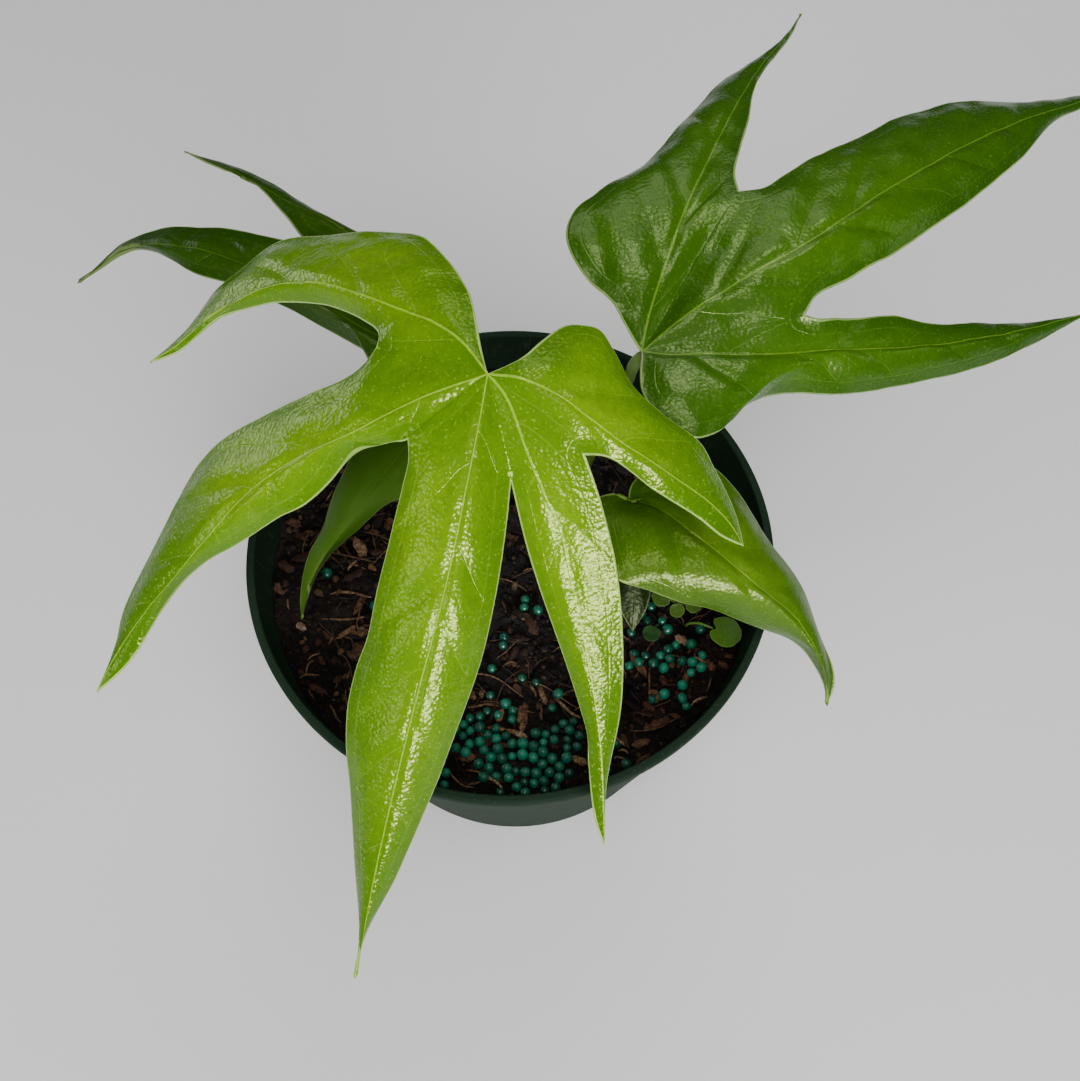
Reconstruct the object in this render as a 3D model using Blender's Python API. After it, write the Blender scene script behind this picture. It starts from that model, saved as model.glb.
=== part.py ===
"""Young anthurium with hand-shaped leaves in a round nursery pot.

The origin is the middle of the pot's underside, on the floor, with +Z up and -Y the front.
Sizes below are in millimetres, and every mesh is written in metres.
A leaf is a set of lobes. Each lobe has a midrib, a line of points from the leaf's junction to the
lobe's tip, and two margins in plan. A margin starts at the sinus shared with the next lobe, or at
the junction on the leaf's open side, and it hangs below the midrib by the lobe's fall.
"""
import math
import random

import bmesh
import bpy
import numpy as np
from mathutils import Euler, Matrix, Vector

MM = 0.001
GAP = 0.3

POT_HEIGHT = 110.0
POT_RIM_RADIUS = 77.5
POT_BASE_RADIUS = 60.0
POT_WALL = 1.3
POT_LIP_HEIGHT = 4.0
POT_LIP_STEP = 1.2
POT_LIP_ROUND = 0.9
POT_BASE_ROUND = 3.0
POT_FLOOR_ROUND = 2.0
POT_SEGMENTS = 48
DRAIN_HOLE_RADIUS = 4.0
DRAIN_HOLE_CIRCLE = 46.0
DRAIN_HOLES = 6

SOIL_LEVEL = 93.5
SOIL_RELIEF = 0.9
SOIL_RISE_AT_WALL = 1.2
SOIL_RINGS = 9
SOIL_SEGMENTS = 36
SOIL_SEED = 5
CHIP_COUNT = 40
CHIP_LENGTHS = (4.0, 10.0)
CHIP_THICKNESSES = (1.6, 2.4)
CHIP_LIFT = 0.35
FIBRE_COUNT = 28
FIBRE_LENGTHS = (9.0, 18.0)
FIBRE_RADIUS = 0.6
FIBRE_ARCH = 1.4
FIBRE_SINK = 0.9
LOOSE_PRILL_COUNT = 18
LOOSE_PRILL_LIFT = 0.5

PRILL_RADIUS = 1.55
PRILL_SPACING = 2.45
PRILL_SHIFT = 0.2
PRILL_LIFT = 0.5
HEAP_CENTRE = (7.5, -60.5)
HEAP_RADII = (11.5, 8.2)
HEAP_MARGIN = 3.5

STEM_PLACE = (15.0, 14.0)
STEM_RADIUS = 7.5
STEM_TOP = 103.0
STEM_FOOT = 84.0
STEM_SEGMENTS = 20

BLADE_THICKNESS = 0.7
SHARED_ROWS = 3
FREE_ROWS = 9
BLADE_COLUMNS = 3
BLADE_SWELL = 0.05
PETIOLE_RADII = (1.8, 1.3, 1.15, 1.2, 1.5)
PETIOLE_RINGS = 11
PETIOLE_SIDES = 8
PETIOLE_RISE = 0.4

LEAF_FRONT = {
    "junction": (-3, -1.5, 195),
    "sinus_at": 0.22,
    "sinuses": [(-29.5, 10.5, 189), (-21.5, -10, 180.5), (2, -19, 177.5), (18.5, -17, 186)],
    "petiole": [(10.9, 12.5, 96.3), (9.5, 12, 112), (5, 8, 145), (0, 2.5, 175), (-2.8, -1, 190)],
    "lobes": [
        {"falls": (2.5, 2.5),
         "midrib": [(-9, 7, 196), (-15, 12.5, 195), (-28.5, 21.5, 192), (-48.5, 36, 182),
                    (-60.5, 41, 175), (-83.5, 40.5, 159), (-93, 38, 152), (-101, 38, 146)],
         "before": [(-4.5, 4), (-8.5, 24), (-14, 35.5), (-23, 48), (-34, 52.5), (-48, 57.5),
                    (-61.5, 61), (-71, 58.5), (-79.5, 54.5), (-91, 42)],
         "after": [(-29.5, 15), (-34, 21), (-64.5, 40), (-77, 42), (-92.5, 37)]},
        {"falls": (2.5, 2.5),
         "midrib": [(-21.5, -6, 190), (-31.5, -8.5, 185), (-55, -12, 170), (-64.5, -15.5, 163),
                    (-74.5, -21, 153), (-84.5, -27.5, 144), (-103.5, -41.5, 125), (-110, -49.5, 118)],
         "before": [(-32, 8), (-47, 6), (-59, 6), (-81, -0.5), (-91.5, -15), (-101.5, -29),
                    (-106.5, -44)],
         "after": [(-27.5, -10), (-34.5, -9.5), (-41.5, -15), (-47.5, -18), (-56, -19.5),
                   (-82.5, -26.5), (-103.5, -46)]},
        {"falls": (2.5, 2.5),
         "midrib": [(-4.5, -9.5, 192), (-6.5, -17.5, 186), (-13, -41.5, 168), (-20.5, -62.5, 150),
                    (-34.5, -105.5, 111), (-36.5, -113, 104), (-38.5, -119, 97)],
         "before": [(-21.5, -14.5), (-23, -19.5), (-30.5, -40.5), (-32.5, -47), (-36, -53.5),
                    (-39, -69), (-38.5, -76.5), (-37.5, -100), (-37, -107)],
         "after": [(1, -26.5), (-4, -49), (-15, -74), (-27, -96.5), (-36.5, -112)]},
        {"falls": (2.5, 2.5),
         "midrib": [(0, -4.5, 193), (6, -16, 184), (10, -22.5, 176), (13.5, -27.5, 169),
                    (15.5, -34, 163), (24, -68.5, 128), (25.5, -88, 108)],
         "before": [(5.5, -29.5), (18.5, -59), (20.5, -64.5), (21, -70.5), (23.5, -83.5)],
         "after": [(22, -22.5), (29, -57.5), (25.5, -77)]},
        {"falls": (2.5, 1.0),
         "midrib": [(7, -4, 196), (12.5, -6, 194), (18.5, -9.5, 191), (24.5, -12, 187),
                    (36.5, -17, 180), (49.5, -20.5, 169), (54.5, -23, 164), (58.5, -26, 158)],
         "before": [(23.5, -16), (35.5, -21), (47, -24), (52.5, -26)],
         "after": [(3.5, 1.5), (18, 15.5), (23, 15.5), (26, 12), (32.5, 2.5), (37.5, -1),
                   (48, -6), (51, -10.5), (57, -21.5)]},
    ],
}

LEAF_RIGHT = {
    "junction": (34, 19, 176),
    "sinus_at": 0.27,
    "sinuses": [(60, 62.5, 186), (74, 26.5, 181)],
    "petiole": [(18.6, 16.5, 96.3), (20.5, 17.3, 112), (26, 18.5, 140), (31.5, 18.8, 164),
                (33, 18.9, 172)],
    "lobes": [
        {"falls": (2.0, 2.0),
         "midrib": [(35, 24, 179), (40.5, 41.5, 183), (45.5, 56, 185), (52, 72.5, 184),
                    (74.5, 125.5, 174), (84, 144, 168), (93, 165, 161)],
         "before": [(29.5, 25.5), (27, 30.5), (21.5, 36), (15.5, 50.5), (18, 59), (23, 65),
                    (37, 78.5), (50, 99.5), (66.5, 124.5), (76.5, 134.5), (85, 147.5)],
         "after": [(59.5, 68), (62.5, 81.5), (66.5, 95.5), (69.5, 109), (88, 151)]},
        {"falls": (2.0, 2.0),
         "midrib": [(39.5, 23, 179), (60, 35.5, 185), (73, 43, 187), (103.5, 67.5, 185),
                    (138, 94.5, 178), (167.5, 115, 169), (181.5, 126, 163)],
         "before": [(65.5, 63.5), (73.5, 70), (92.5, 84.5), (126, 106), (137.5, 109.5),
                    (151.5, 112), (162.5, 117)],
         "after": [(77, 31.5), (87, 38), (142, 86), (160, 107.5), (168.5, 114)]},
        {"falls": (2.0, 5.0),
         "midrib": [(40.5, 17.5, 177), (47, 17.5, 177), (64, 18, 176), (82.5, 21.5, 173),
                    (101.5, 25.5, 169), (134, 37, 160), (164.5, 51.5, 151)],
         "before": [(77.5, 26), (84, 28), (102, 34.5), (111, 35), (121, 38), (148.5, 45.5)],
         "after": [(34, 6.5), (47, -4.5), (53, -1), (58, 5.5), (63.5, 10), (85.5, 14.5),
                   (133.5, 32)]},
    ],
}

LEAF_LEFT = {
    "junction": (-14, 24.5, 156),
    "sinus_at": 0.25,
    "sinuses": [(-47.5, 58.5, 163.5), (-34, 25.5, 153.5)],
    "petiole": [(12.5, 17.6, 96.3), (10, 18.5, 108), (0, 21, 128), (-10, 23.5, 147),
                (-13.6, 24.3, 153)],
    "lobes": [
        {"falls": (1.5, 1.5),
         "midrib": [(-25.5, 45, 164), (-36.5, 58, 166), (-48, 69.5, 167), (-59.5, 77, 166),
                    (-82, 96, 161), (-99.5, 110, 155)],
         "before": [(-12, 32), (-23, 57), (-42, 68), (-59, 80.5), (-70, 90.5)],
         "after": [(-57.5, 67), (-63, 75), (-75.5, 90), (-83.5, 96)]},
        {"falls": (1.5, 1.5),
         "midrib": [(-24, 30.5, 159), (-34, 35.5, 161), (-57, 50.5, 161), (-93.5, 72, 155),
                    (-116, 78.5, 147), (-131.5, 73.5, 137)],
         "before": [(-55.5, 65), (-64.5, 69.5), (-85.5, 78), (-106, 82.5), (-116, 81)],
         "after": [(-36, 33), (-41.5, 37), (-69.5, 54.5), (-78, 59.5), (-86.5, 63),
                   (-113.5, 79), (-127.5, 75)]},
        {"falls": (1.5, 1.5),
         "midrib": [(-23, 15, 149), (-30, 9, 142), (-38, 3, 135), (-45, -3.5, 127),
                    (-57, -14, 112), (-61, -22, 102)],
         "before": [(-46.5, 9), (-50.5, 4), (-53.5, -1.5), (-57.5, -6.5), (-61, -17.5)],
         "after": [(-15, 15.5), (-20.5, 7.5), (-28.5, 1), (-33.5, 0.5), (-42.5, -3.5),
                   (-55, -11)]},
    ],
}

LEAF_LOW = {
    "junction": (32.5, -3.5, 140),
    "sinus_at": 0.0,
    "sinuses": [],
    "petiole": [(18.8, 11.8, 96.3), (21, 10, 108), (26.5, 4, 124), (31.5, -1.5, 135),
                (32.4, -3.2, 138)],
    "lobes": [
        {"falls": (1.5, 1.5),
         "midrib": [(36, -4.5, 141), (51, -16.5, 143), (63.5, -25.5, 138), (78, -33, 127),
                    (87, -44, 113), (88, -49.5, 106)],
         "before": [(33, 0), (48, 7), (56, 6), (61, 1.5), (71, -11.5), (81, -23), (84.5, -30.5),
                    (89.5, -46)],
         "after": [(30.5, -2), (24, -3.5), (24.5, -10), (26, -20), (28.5, -26.5), (36.5, -28.5),
                   (45, -30.5), (54.5, -31), (63.5, -32.5), (82, -37.5), (87.5, -46)]},
    ],
}

LEAF_YOUNG = {
    "junction": (35, -5, 110),
    "sinus_at": 0.0,
    "sinuses": [],
    "petiole": [(14.6, 9.6, 96.3), (16, 5, 104), (24, -1, 110), (31, -4, 111), (34, -4.8, 110)],
    "lobes": [
        {"falls": (0.6, 0.6),
         "midrib": [(36, -10, 109), (36.5, -16, 105), (36, -24, 98)],
         "before": [(39, -8), (41, -13), (40, -18)],
         "after": [(32, -8), (31, -13), (32.5, -19)]},
    ],
}

WEED_ROUND_LEAF = {
    "radius": 4.8,
    "centre": (63, -24.5, 98.5),
    "notch_towards": 158,
    "stalk": [(52.5, -20, 89.5), (53, -20.2, 95), (56, -21.4, 98), (59.3, -23, 97.8)],
}
WEED_SEEDLING = {
    "radius": 2.6,
    "centre": (41.5, -24.5, 97.5),
    "notch_towards": 60,
    "stalk": [(44, -20.5, 89.5), (44, -20.5, 94.5), (43.2, -21.6, 96.8), (42.5, -22.8, 97.2)],
}
WEED_CLOVER = {
    "leaflets": [(2.9, (44.8, -13.8, 99)), (2.2, (49.2, -18, 99.5)), (2.6, (54, -16, 99))],
    "foot": [(50, -14, 89.5), (50, -14, 94.5), (50, -14.6, 97)],
}
WEED_THICKNESS = 0.7
LEAFLET_DEPTH = 0.6
LEAFLET_NOTCH = 0.55
STALK_RADIUS = 0.5
STALK_END_BELOW_RIM = 0.9


def clear_scene():
    """Remove whatever the scene already holds."""
    for scene_object in list(bpy.data.objects):
        bpy.data.objects.remove(scene_object, do_unlink=True)


def plain_material(name, colour, roughness):
    """Principled material with one colour."""
    material = bpy.data.materials.new(name)
    material.use_nodes = True
    shader = material.node_tree.nodes["Principled BSDF"]
    shader.inputs["Base Color"].default_value = (*colour, 1.0)
    shader.inputs["Roughness"].default_value = roughness
    shader.inputs["Metallic"].default_value = 0.0
    material.diffuse_color = (*colour, 1.0)
    return material


def add_object(name, surface):
    """Object made of a bmesh in millimetres, linked to the scene in metres."""
    bmesh.ops.recalc_face_normals(surface, faces=surface.faces)
    bmesh.ops.transform(surface, matrix=Matrix.Scale(MM, 4), verts=surface.verts)
    mesh = bpy.data.meshes.new(name)
    surface.to_mesh(mesh)
    surface.free()
    scene_object = bpy.data.objects.new(name, mesh)
    bpy.context.scene.collection.objects.link(scene_object)
    return scene_object


def finish(scene_object, material, sharp_angle):
    """Give the object its material, shaded smooth up to the angle in degrees."""
    mesh = scene_object.data
    mesh.materials.clear()
    mesh.materials.append(material)
    mesh.shade_smooth()
    mesh.set_sharp_from_angle(angle=math.radians(sharp_angle))


def combine(target, others, operation):
    """Join the others to the target, or cut them from it, in one Boolean, then remove them."""
    group = bpy.data.collections.new("operands")
    bpy.context.scene.collection.children.link(group)
    for other in others:
        group.objects.link(other)
        bpy.context.scene.collection.objects.unlink(other)
    modifier = target.modifiers.new("combine", "BOOLEAN")
    modifier.operation = operation
    modifier.operand_type = "COLLECTION"
    modifier.collection = group
    modifier.solver = "EXACT"
    depsgraph = bpy.context.evaluated_depsgraph_get()
    result = bpy.data.meshes.new_from_object(target.evaluated_get(depsgraph))
    target.modifiers.clear()
    target.data = result
    for other in others:
        bpy.data.objects.remove(other, do_unlink=True)
    bpy.data.collections.remove(group)


def curve_through(points, fractions):
    """Smooth curve through the points, read at fractions of its length from 0 to 1."""
    points = np.array(points, dtype=float)
    steps = np.linalg.norm(np.diff(points, axis=0), axis=1)
    knots = np.concatenate([[0.0], np.cumsum(steps)])
    slopes = np.gradient(points, knots, axis=0)
    places = np.asarray(fractions, dtype=float) * knots[-1]
    piece = np.clip(np.searchsorted(knots, places, side="right") - 1, 0, len(steps) - 1)
    span = steps[piece][:, None]
    t = (places - knots[piece])[:, None] / span
    start = points[piece] * (2 * t ** 3 - 3 * t ** 2 + 1)
    end = points[piece + 1] * (3 * t ** 2 - 2 * t ** 3)
    leaving = slopes[piece] * (t ** 3 - 2 * t ** 2 + t) * span
    arriving = slopes[piece + 1] * (t ** 3 - t ** 2) * span
    return start + end + leaving + arriving


def lathe(profile, segments):
    """Closed solid turned about Z from an outline of (radius, height), both ends on the axis."""
    surface = bmesh.new()
    rings = []
    for radius, height in profile:
        if radius == 0:
            rings.append([surface.verts.new((0, 0, height))])
            continue
        angles = [math.tau * step / segments for step in range(segments)]
        rings.append([surface.verts.new((radius * math.cos(a), radius * math.sin(a), height))
                      for a in angles])
    for lower, upper in zip(rings, rings[1:]):
        for step in range(segments):
            after = (step + 1) % segments
            corners = [lower[step % len(lower)], lower[after % len(lower)],
                       upper[after % len(upper)], upper[step % len(upper)]]
            surface.faces.new(list(dict.fromkeys(corners)))
    return surface


def tube(path, radii, sides):
    """Closed round tube along a path of points, with one radius for each."""
    surface = bmesh.new()
    path = [Vector([float(value) for value in point]) for point in path]
    across = Vector((1.0, 0.0, 0.0))
    rings = []
    for index, point in enumerate(path):
        before = path[max(index - 1, 0)]
        after = path[min(index + 1, len(path) - 1)]
        along = (after - before).normalized()
        across = (across - along * across.dot(along)).normalized()
        up = along.cross(across)
        angles = [math.tau * step / sides for step in range(sides)]
        radius = float(radii[index])
        rings.append([surface.verts.new(point + radius * (math.cos(a) * across + math.sin(a) * up))
                      for a in angles])
    for lower, upper in zip(rings, rings[1:]):
        for step in range(sides):
            after = (step + 1) % sides
            surface.faces.new([lower[step], lower[after], upper[after], upper[step]])
    surface.faces.new(rings[0])
    surface.faces.new(rings[-1])
    return surface


def lobe_half(leaf, lobe, sinus, side):
    """Rows of points from a lobe's midrib to its shared line and margin on one side."""
    junction = np.array(leaf["junction"], dtype=float)
    sinus_at = leaf["sinus_at"]
    fall = lobe["falls"][side == "after"]
    rows = SHARED_ROWS + FREE_ROWS
    shared = np.arange(SHARED_ROWS + 1) / SHARED_ROWS
    free = np.arange(1, FREE_ROWS + 1) / FREE_ROWS
    if not leaf["sinuses"]:
        along = np.arange(rows + 1) / rows
    else:
        along = np.concatenate([shared * sinus_at, sinus_at + (1 - sinus_at) * free])
    midrib_points = [junction] + [np.array(point, dtype=float) for point in lobe["midrib"]]
    midrib = curve_through(midrib_points, along)
    tip = midrib_points[-1][:2]
    if sinus is None:
        outline = [junction[:2]] + lobe[side] + [tip]
        edge_fraction = np.arange(rows + 1) / rows
        edge_plan = curve_through(outline, edge_fraction)
        edge_height = midrib[:, 2] - fall * np.sin(math.pi * edge_fraction)
        joined = np.zeros(rows + 1)
    else:
        sinus = np.array(sinus, dtype=float)
        line = junction + (sinus - junction) * shared[:, None]
        margin = curve_through([sinus[:2]] + lobe[side] + [tip], free)
        start_offset = sinus[2] - midrib[SHARED_ROWS, 2]
        height = (midrib[SHARED_ROWS + 1:, 2] + start_offset * (1 - free) ** 2
                  - fall * np.sin(math.pi * free))
        edge_plan = np.concatenate([line[:, :2], margin])
        edge_height = np.concatenate([line[:, 2], height])
        joined = np.concatenate([np.ones(SHARED_ROWS + 1), np.clip(1 - 3 * free, 0, 1)])
    columns = np.arange(BLADE_COLUMNS + 1) / BLADE_COLUMNS
    plan = midrib[:, None, :2] + (edge_plan - midrib[:, :2])[:, None] * columns[:, None]
    drop = (edge_height - midrib[:, 2])[:, None]
    width = np.linalg.norm(edge_plan - midrib[:, :2], axis=1)[:, None]
    smooth_step = columns ** 2 * (3 - 2 * columns)
    blend = joined[:, None]
    profile = drop * (blend * smooth_step + (1 - blend) * columns ** 2)
    swell = BLADE_SWELL * width * np.sin(math.pi * columns) * (1 - blend)
    height = midrib[:, 2][:, None] + profile + swell
    return np.concatenate([plan, height[:, :, None]], axis=2)


def blade_surface(leaf):
    """Open triangulated surface of a leaf's upper face, its lobes welded together."""
    surface = bmesh.new()
    sinuses = [None] + leaf["sinuses"] + [None]
    for index, lobe in enumerate(leaf["lobes"]):
        for side, sinus in (("before", sinuses[index]), ("after", sinuses[index + 1])):
            grid = lobe_half(leaf, lobe, sinus, side)
            verts = [[surface.verts.new(point) for point in row] for row in grid]
            for near, far in zip(verts, verts[1:]):
                for column in range(BLADE_COLUMNS):
                    corners = [near[column], far[column], far[column + 1], near[column + 1]]
                    surface.faces.new(corners)
    bmesh.ops.remove_doubles(surface, verts=surface.verts, dist=0.01)
    bmesh.ops.dissolve_degenerate(surface, edges=surface.edges, dist=0.01)
    bmesh.ops.triangulate(surface, faces=surface.faces)
    face_upwards(surface)
    return surface


def face_upwards(surface):
    """Turn an open surface's faces the same way, upwards on the whole."""
    bmesh.ops.recalc_face_normals(surface, faces=surface.faces)
    if sum(face.normal.z * face.calc_area() for face in surface.faces) < 0:
        bmesh.ops.reverse_faces(surface, faces=surface.faces)


def thicken(surface, thickness):
    """Close an open surface with a copy below it and a band of triangles round its edge."""
    surface.normal_update()
    below = {}
    for vert in list(surface.verts):
        below[vert] = surface.verts.new(vert.co - vert.normal * thickness)
    edges = [edge for edge in surface.edges if edge.is_boundary]
    for face in list(surface.faces):
        surface.faces.new([below[vert] for vert in reversed(face.verts)])
    for edge in edges:
        loop = edge.link_loops[0]
        first = loop.vert
        second = loop.link_loop_next.vert
        surface.faces.new([second, first, below[first]])
        surface.faces.new([second, below[first], below[second]])
    return surface


def petiole_tube(leaf, extra_radius, extra_foot):
    """Leaf stalk from the stem into the blade, fattened and lengthened when it is a cutter."""
    end = Vector(leaf["junction"]) + Vector((0, 0, PETIOLE_RISE))
    fractions = np.linspace(0, 1, PETIOLE_RINGS)
    path = curve_through(leaf["petiole"] + [end], fractions)
    radii = np.interp(fractions, np.linspace(0, 1, len(PETIOLE_RADII)), PETIOLE_RADII)
    path[0, 2] -= extra_foot
    return tube(path, radii + extra_radius, PETIOLE_SIDES)


def leaf_object(name, leaf):
    """Blade and leaf stalk grown as one piece."""
    blade = add_object(name, thicken(blade_surface(leaf), BLADE_THICKNESS))
    stalk = add_object(name + "_stalk", petiole_tube(leaf, 0.0, 0.0))
    combine(blade, [stalk], "UNION")
    return blade


def inner_wall_radius(height):
    """Radius of the pot's inner wall at a height."""
    wall_top = POT_HEIGHT - POT_LIP_HEIGHT
    outer = POT_BASE_RADIUS + (POT_RIM_RADIUS - POT_LIP_STEP - POT_BASE_RADIUS) * height / wall_top
    return outer - POT_WALL


def arc(centre, radius, start, end, steps):
    """Points (radius, height) round part of a circle, with the angles in degrees."""
    angles = [math.radians(start + (end - start) * step / steps) for step in range(steps + 1)]
    return [(centre[0] + radius * math.cos(a), centre[1] + radius * math.sin(a)) for a in angles]


def pot_profile():
    """Outline of the pot from the middle of its underside round the lip to its floor."""
    wall_top = POT_HEIGHT - POT_LIP_HEIGHT
    shoulder = POT_RIM_RADIUS - POT_LIP_STEP
    slope = math.degrees(math.atan2(shoulder - POT_BASE_RADIUS, wall_top))
    base_centre = (POT_BASE_RADIUS - POT_BASE_ROUND, POT_BASE_ROUND)
    lip_edge = POT_RIM_RADIUS - POT_LIP_ROUND
    points = [(0, 0)]
    points += arc(base_centre, POT_BASE_ROUND, -90, -slope, 3)
    points += [(shoulder, wall_top)]
    points += arc((lip_edge, wall_top + POT_LIP_ROUND), POT_LIP_ROUND, -60, 0, 1)
    points += arc((lip_edge, POT_HEIGHT - POT_LIP_ROUND), POT_LIP_ROUND, 0, 90, 2)
    points += [(shoulder - POT_WALL, POT_HEIGHT),
               (inner_wall_radius(wall_top), wall_top),
               (inner_wall_radius(POT_WALL + POT_FLOOR_ROUND), POT_WALL + POT_FLOOR_ROUND),
               (inner_wall_radius(POT_WALL) - POT_FLOOR_ROUND, POT_WALL),
               (0, POT_WALL)]
    return points


def pot_object():
    """Pot with drain holes through its floor."""
    pot = add_object("pot", lathe(pot_profile(), POT_SEGMENTS))
    cutters = []
    for step in range(DRAIN_HOLES):
        angle = math.tau * (step + 0.5) / DRAIN_HOLES
        place = (DRAIN_HOLE_CIRCLE * math.cos(angle), DRAIN_HOLE_CIRCLE * math.sin(angle))
        ends = [(*place, -1.0), (*place, POT_WALL + 1.0)]
        hole = tube(ends, [DRAIN_HOLE_RADIUS] * 2, 16)
        cutters.append(add_object("drain_hole", hole))
    combine(pot, cutters, "DIFFERENCE")
    return pot


def heap_distance(x, y):
    """Distance from the heap's middle, 1 at the heap's edge."""
    return math.hypot((x - HEAP_CENTRE[0]) / HEAP_RADII[0], (y - HEAP_CENTRE[1]) / HEAP_RADII[1])


def soil_height(x, y):
    """Height of the potting mix: soft bumps, a rise at the wall and a level bed below the heap."""
    radius = math.hypot(x, y) / POT_RIM_RADIUS
    bumps = (math.sin(0.13 * x + 0.4) * math.cos(0.17 * y - 1.1)
             + 0.6 * math.sin(0.31 * x - 0.22 * y + 2.0)
             + 0.4 * math.cos(0.24 * x + 0.37 * y))
    reach = 1 + HEAP_MARGIN / min(HEAP_RADII)
    level = min(max((heap_distance(x, y) - reach) * 4, 0.0), 1.0)
    return SOIL_LEVEL + level * (SOIL_RELIEF * bumps + SOIL_RISE_AT_WALL * radius ** 6)


def soil_body():
    """Bed of potting mix as one turned body with a relief on its top."""
    surface = bmesh.new()
    edge_height = SOIL_LEVEL + SOIL_RISE_AT_WALL
    top_radius = inner_wall_radius(edge_height) - GAP * 2
    angles = [math.tau * step / SOIL_SEGMENTS for step in range(SOIL_SEGMENTS)]
    top = surface.verts.new((0, 0, soil_height(0, 0)))
    rings = []
    for ring in range(1, SOIL_RINGS + 1):
        radius = top_radius * ring / SOIL_RINGS
        places = [(radius * math.cos(a), radius * math.sin(a)) for a in angles]
        rings.append([surface.verts.new((x, y, soil_height(x, y))) for x, y in places])
    floor = POT_WALL + GAP
    foot = floor + POT_FLOOR_ROUND
    for radius, height in ((inner_wall_radius(foot) - GAP * 2, foot),
                           (inner_wall_radius(floor) - POT_FLOOR_ROUND - GAP * 2, floor)):
        rings.append([surface.verts.new((radius * math.cos(a), radius * math.sin(a), height))
                      for a in angles])
    for step in range(SOIL_SEGMENTS):
        after = (step + 1) % SOIL_SEGMENTS
        surface.faces.new([top, rings[0][step], rings[0][after]])
        for inner, outer in zip(rings, rings[1:]):
            surface.faces.new([inner[step], outer[step], outer[after], inner[after]])
    surface.faces.new(rings[-1])
    bmesh.ops.triangulate(surface, faces=surface.faces)
    return add_object("potting_mix", surface)


def bark_chip(draw, x, y):
    """Flat tapered chip lying tilted, with its lower half in the bed."""
    chip = bmesh.new()
    bmesh.ops.create_cube(chip, size=1.0)
    length = draw.uniform(*CHIP_LENGTHS)
    thickness = draw.uniform(*CHIP_THICKNESSES)
    size = Vector((length, length * draw.uniform(0.3, 0.6), thickness))
    taper = draw.uniform(0.5, 0.9)
    for vert in chip.verts:
        narrow = taper if vert.co.x > 0 else 1.0
        vert.co = Vector((vert.co.x * size.x, vert.co.y * size.y * narrow, vert.co.z * size.z))
    turn = Euler((draw.uniform(-0.35, 0.35), draw.uniform(-0.3, 0.3), draw.uniform(0, math.tau)))
    place = Vector((x, y, soil_height(x, y) + CHIP_LIFT))
    chip.transform(Matrix.Translation(place) @ turn.to_matrix().to_4x4())
    return add_object("chip", chip)


def fibre(draw, x, y):
    """Straw that arches from the bed and goes back into it."""
    heading = draw.uniform(0, math.tau)
    bend = draw.uniform(-0.5, 0.5)
    length = draw.uniform(*FIBRE_LENGTHS)
    path = []
    for step in range(5):
        fraction = step / 4
        along = (fraction - 0.5) * length
        turned = heading + bend * (fraction - 0.5)
        px = x + along * math.cos(turned)
        py = y + along * math.sin(turned)
        lift = FIBRE_ARCH * math.sin(math.pi * fraction) - FIBRE_SINK
        path.append((px, py, soil_height(px, py) + lift))
    return add_object("fibre", tube(path, [FIBRE_RADIUS] * len(path), 3))


def prill(x, y, height, draw):
    """Fertiliser bead with few sides."""
    bead = bmesh.new()
    bmesh.ops.create_icosphere(bead, subdivisions=1, radius=PRILL_RADIUS)
    turn = Euler((draw.uniform(0, 3), draw.uniform(0, 3), draw.uniform(0, 3)))
    bead.transform(Matrix.Translation((x, y, height)) @ turn.to_matrix().to_4x4())
    return add_object("prill", bead)


def stems_in_soil():
    """Points on the potting mix where a weed's stalk stands."""
    return [WEED_ROUND_LEAF["stalk"][0], WEED_SEEDLING["stalk"][0], WEED_CLOVER["foot"][0]]


def free_place(draw, room):
    """Seeded point on the bed, clear of the wall, the heap, the stem and the weeds' stalks."""
    limit = inner_wall_radius(SOIL_LEVEL) - 1.5 - room
    while True:
        radius = limit * math.sqrt(draw.random())
        angle = draw.uniform(0, math.tau)
        x = radius * math.cos(angle)
        y = radius * math.sin(angle)
        if heap_distance(x, y) < 1 + (room + HEAP_MARGIN) / min(HEAP_RADII):
            continue
        if math.hypot(x - STEM_PLACE[0], y - STEM_PLACE[1]) < STEM_RADIUS + room + 1.5:
            continue
        if all(math.hypot(x - foot[0], y - foot[1]) > room + 2 for foot in stems_in_soil()):
            return x, y


def potting_mix_object(weed_cutters):
    """Bed with its scraps fused on, and plain holes for the stem and the weeds' stalks."""
    draw = random.Random(SOIL_SEED)
    soil = soil_body()
    scraps = [bark_chip(draw, *free_place(draw, 5.0)) for _ in range(CHIP_COUNT)]
    scraps += [fibre(draw, *free_place(draw, 9.0)) for _ in range(FIBRE_COUNT)]
    for _ in range(LOOSE_PRILL_COUNT):
        x, y = free_place(draw, 1.5)
        scraps.append(prill(x, y, soil_height(x, y) + LOOSE_PRILL_LIFT, draw))
    combine(soil, scraps, "UNION")
    stem_hole = lathe([(0, STEM_FOOT - GAP), (STEM_RADIUS + GAP, STEM_FOOT - GAP),
                       (STEM_RADIUS + GAP, STEM_TOP + 5), (0, STEM_TOP + 5)], STEM_SEGMENTS)
    stem_hole.transform(Matrix.Translation((*STEM_PLACE, 0)))
    combine(soil, [add_object("stem_hole", stem_hole)] + weed_cutters, "DIFFERENCE")
    return soil


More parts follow.
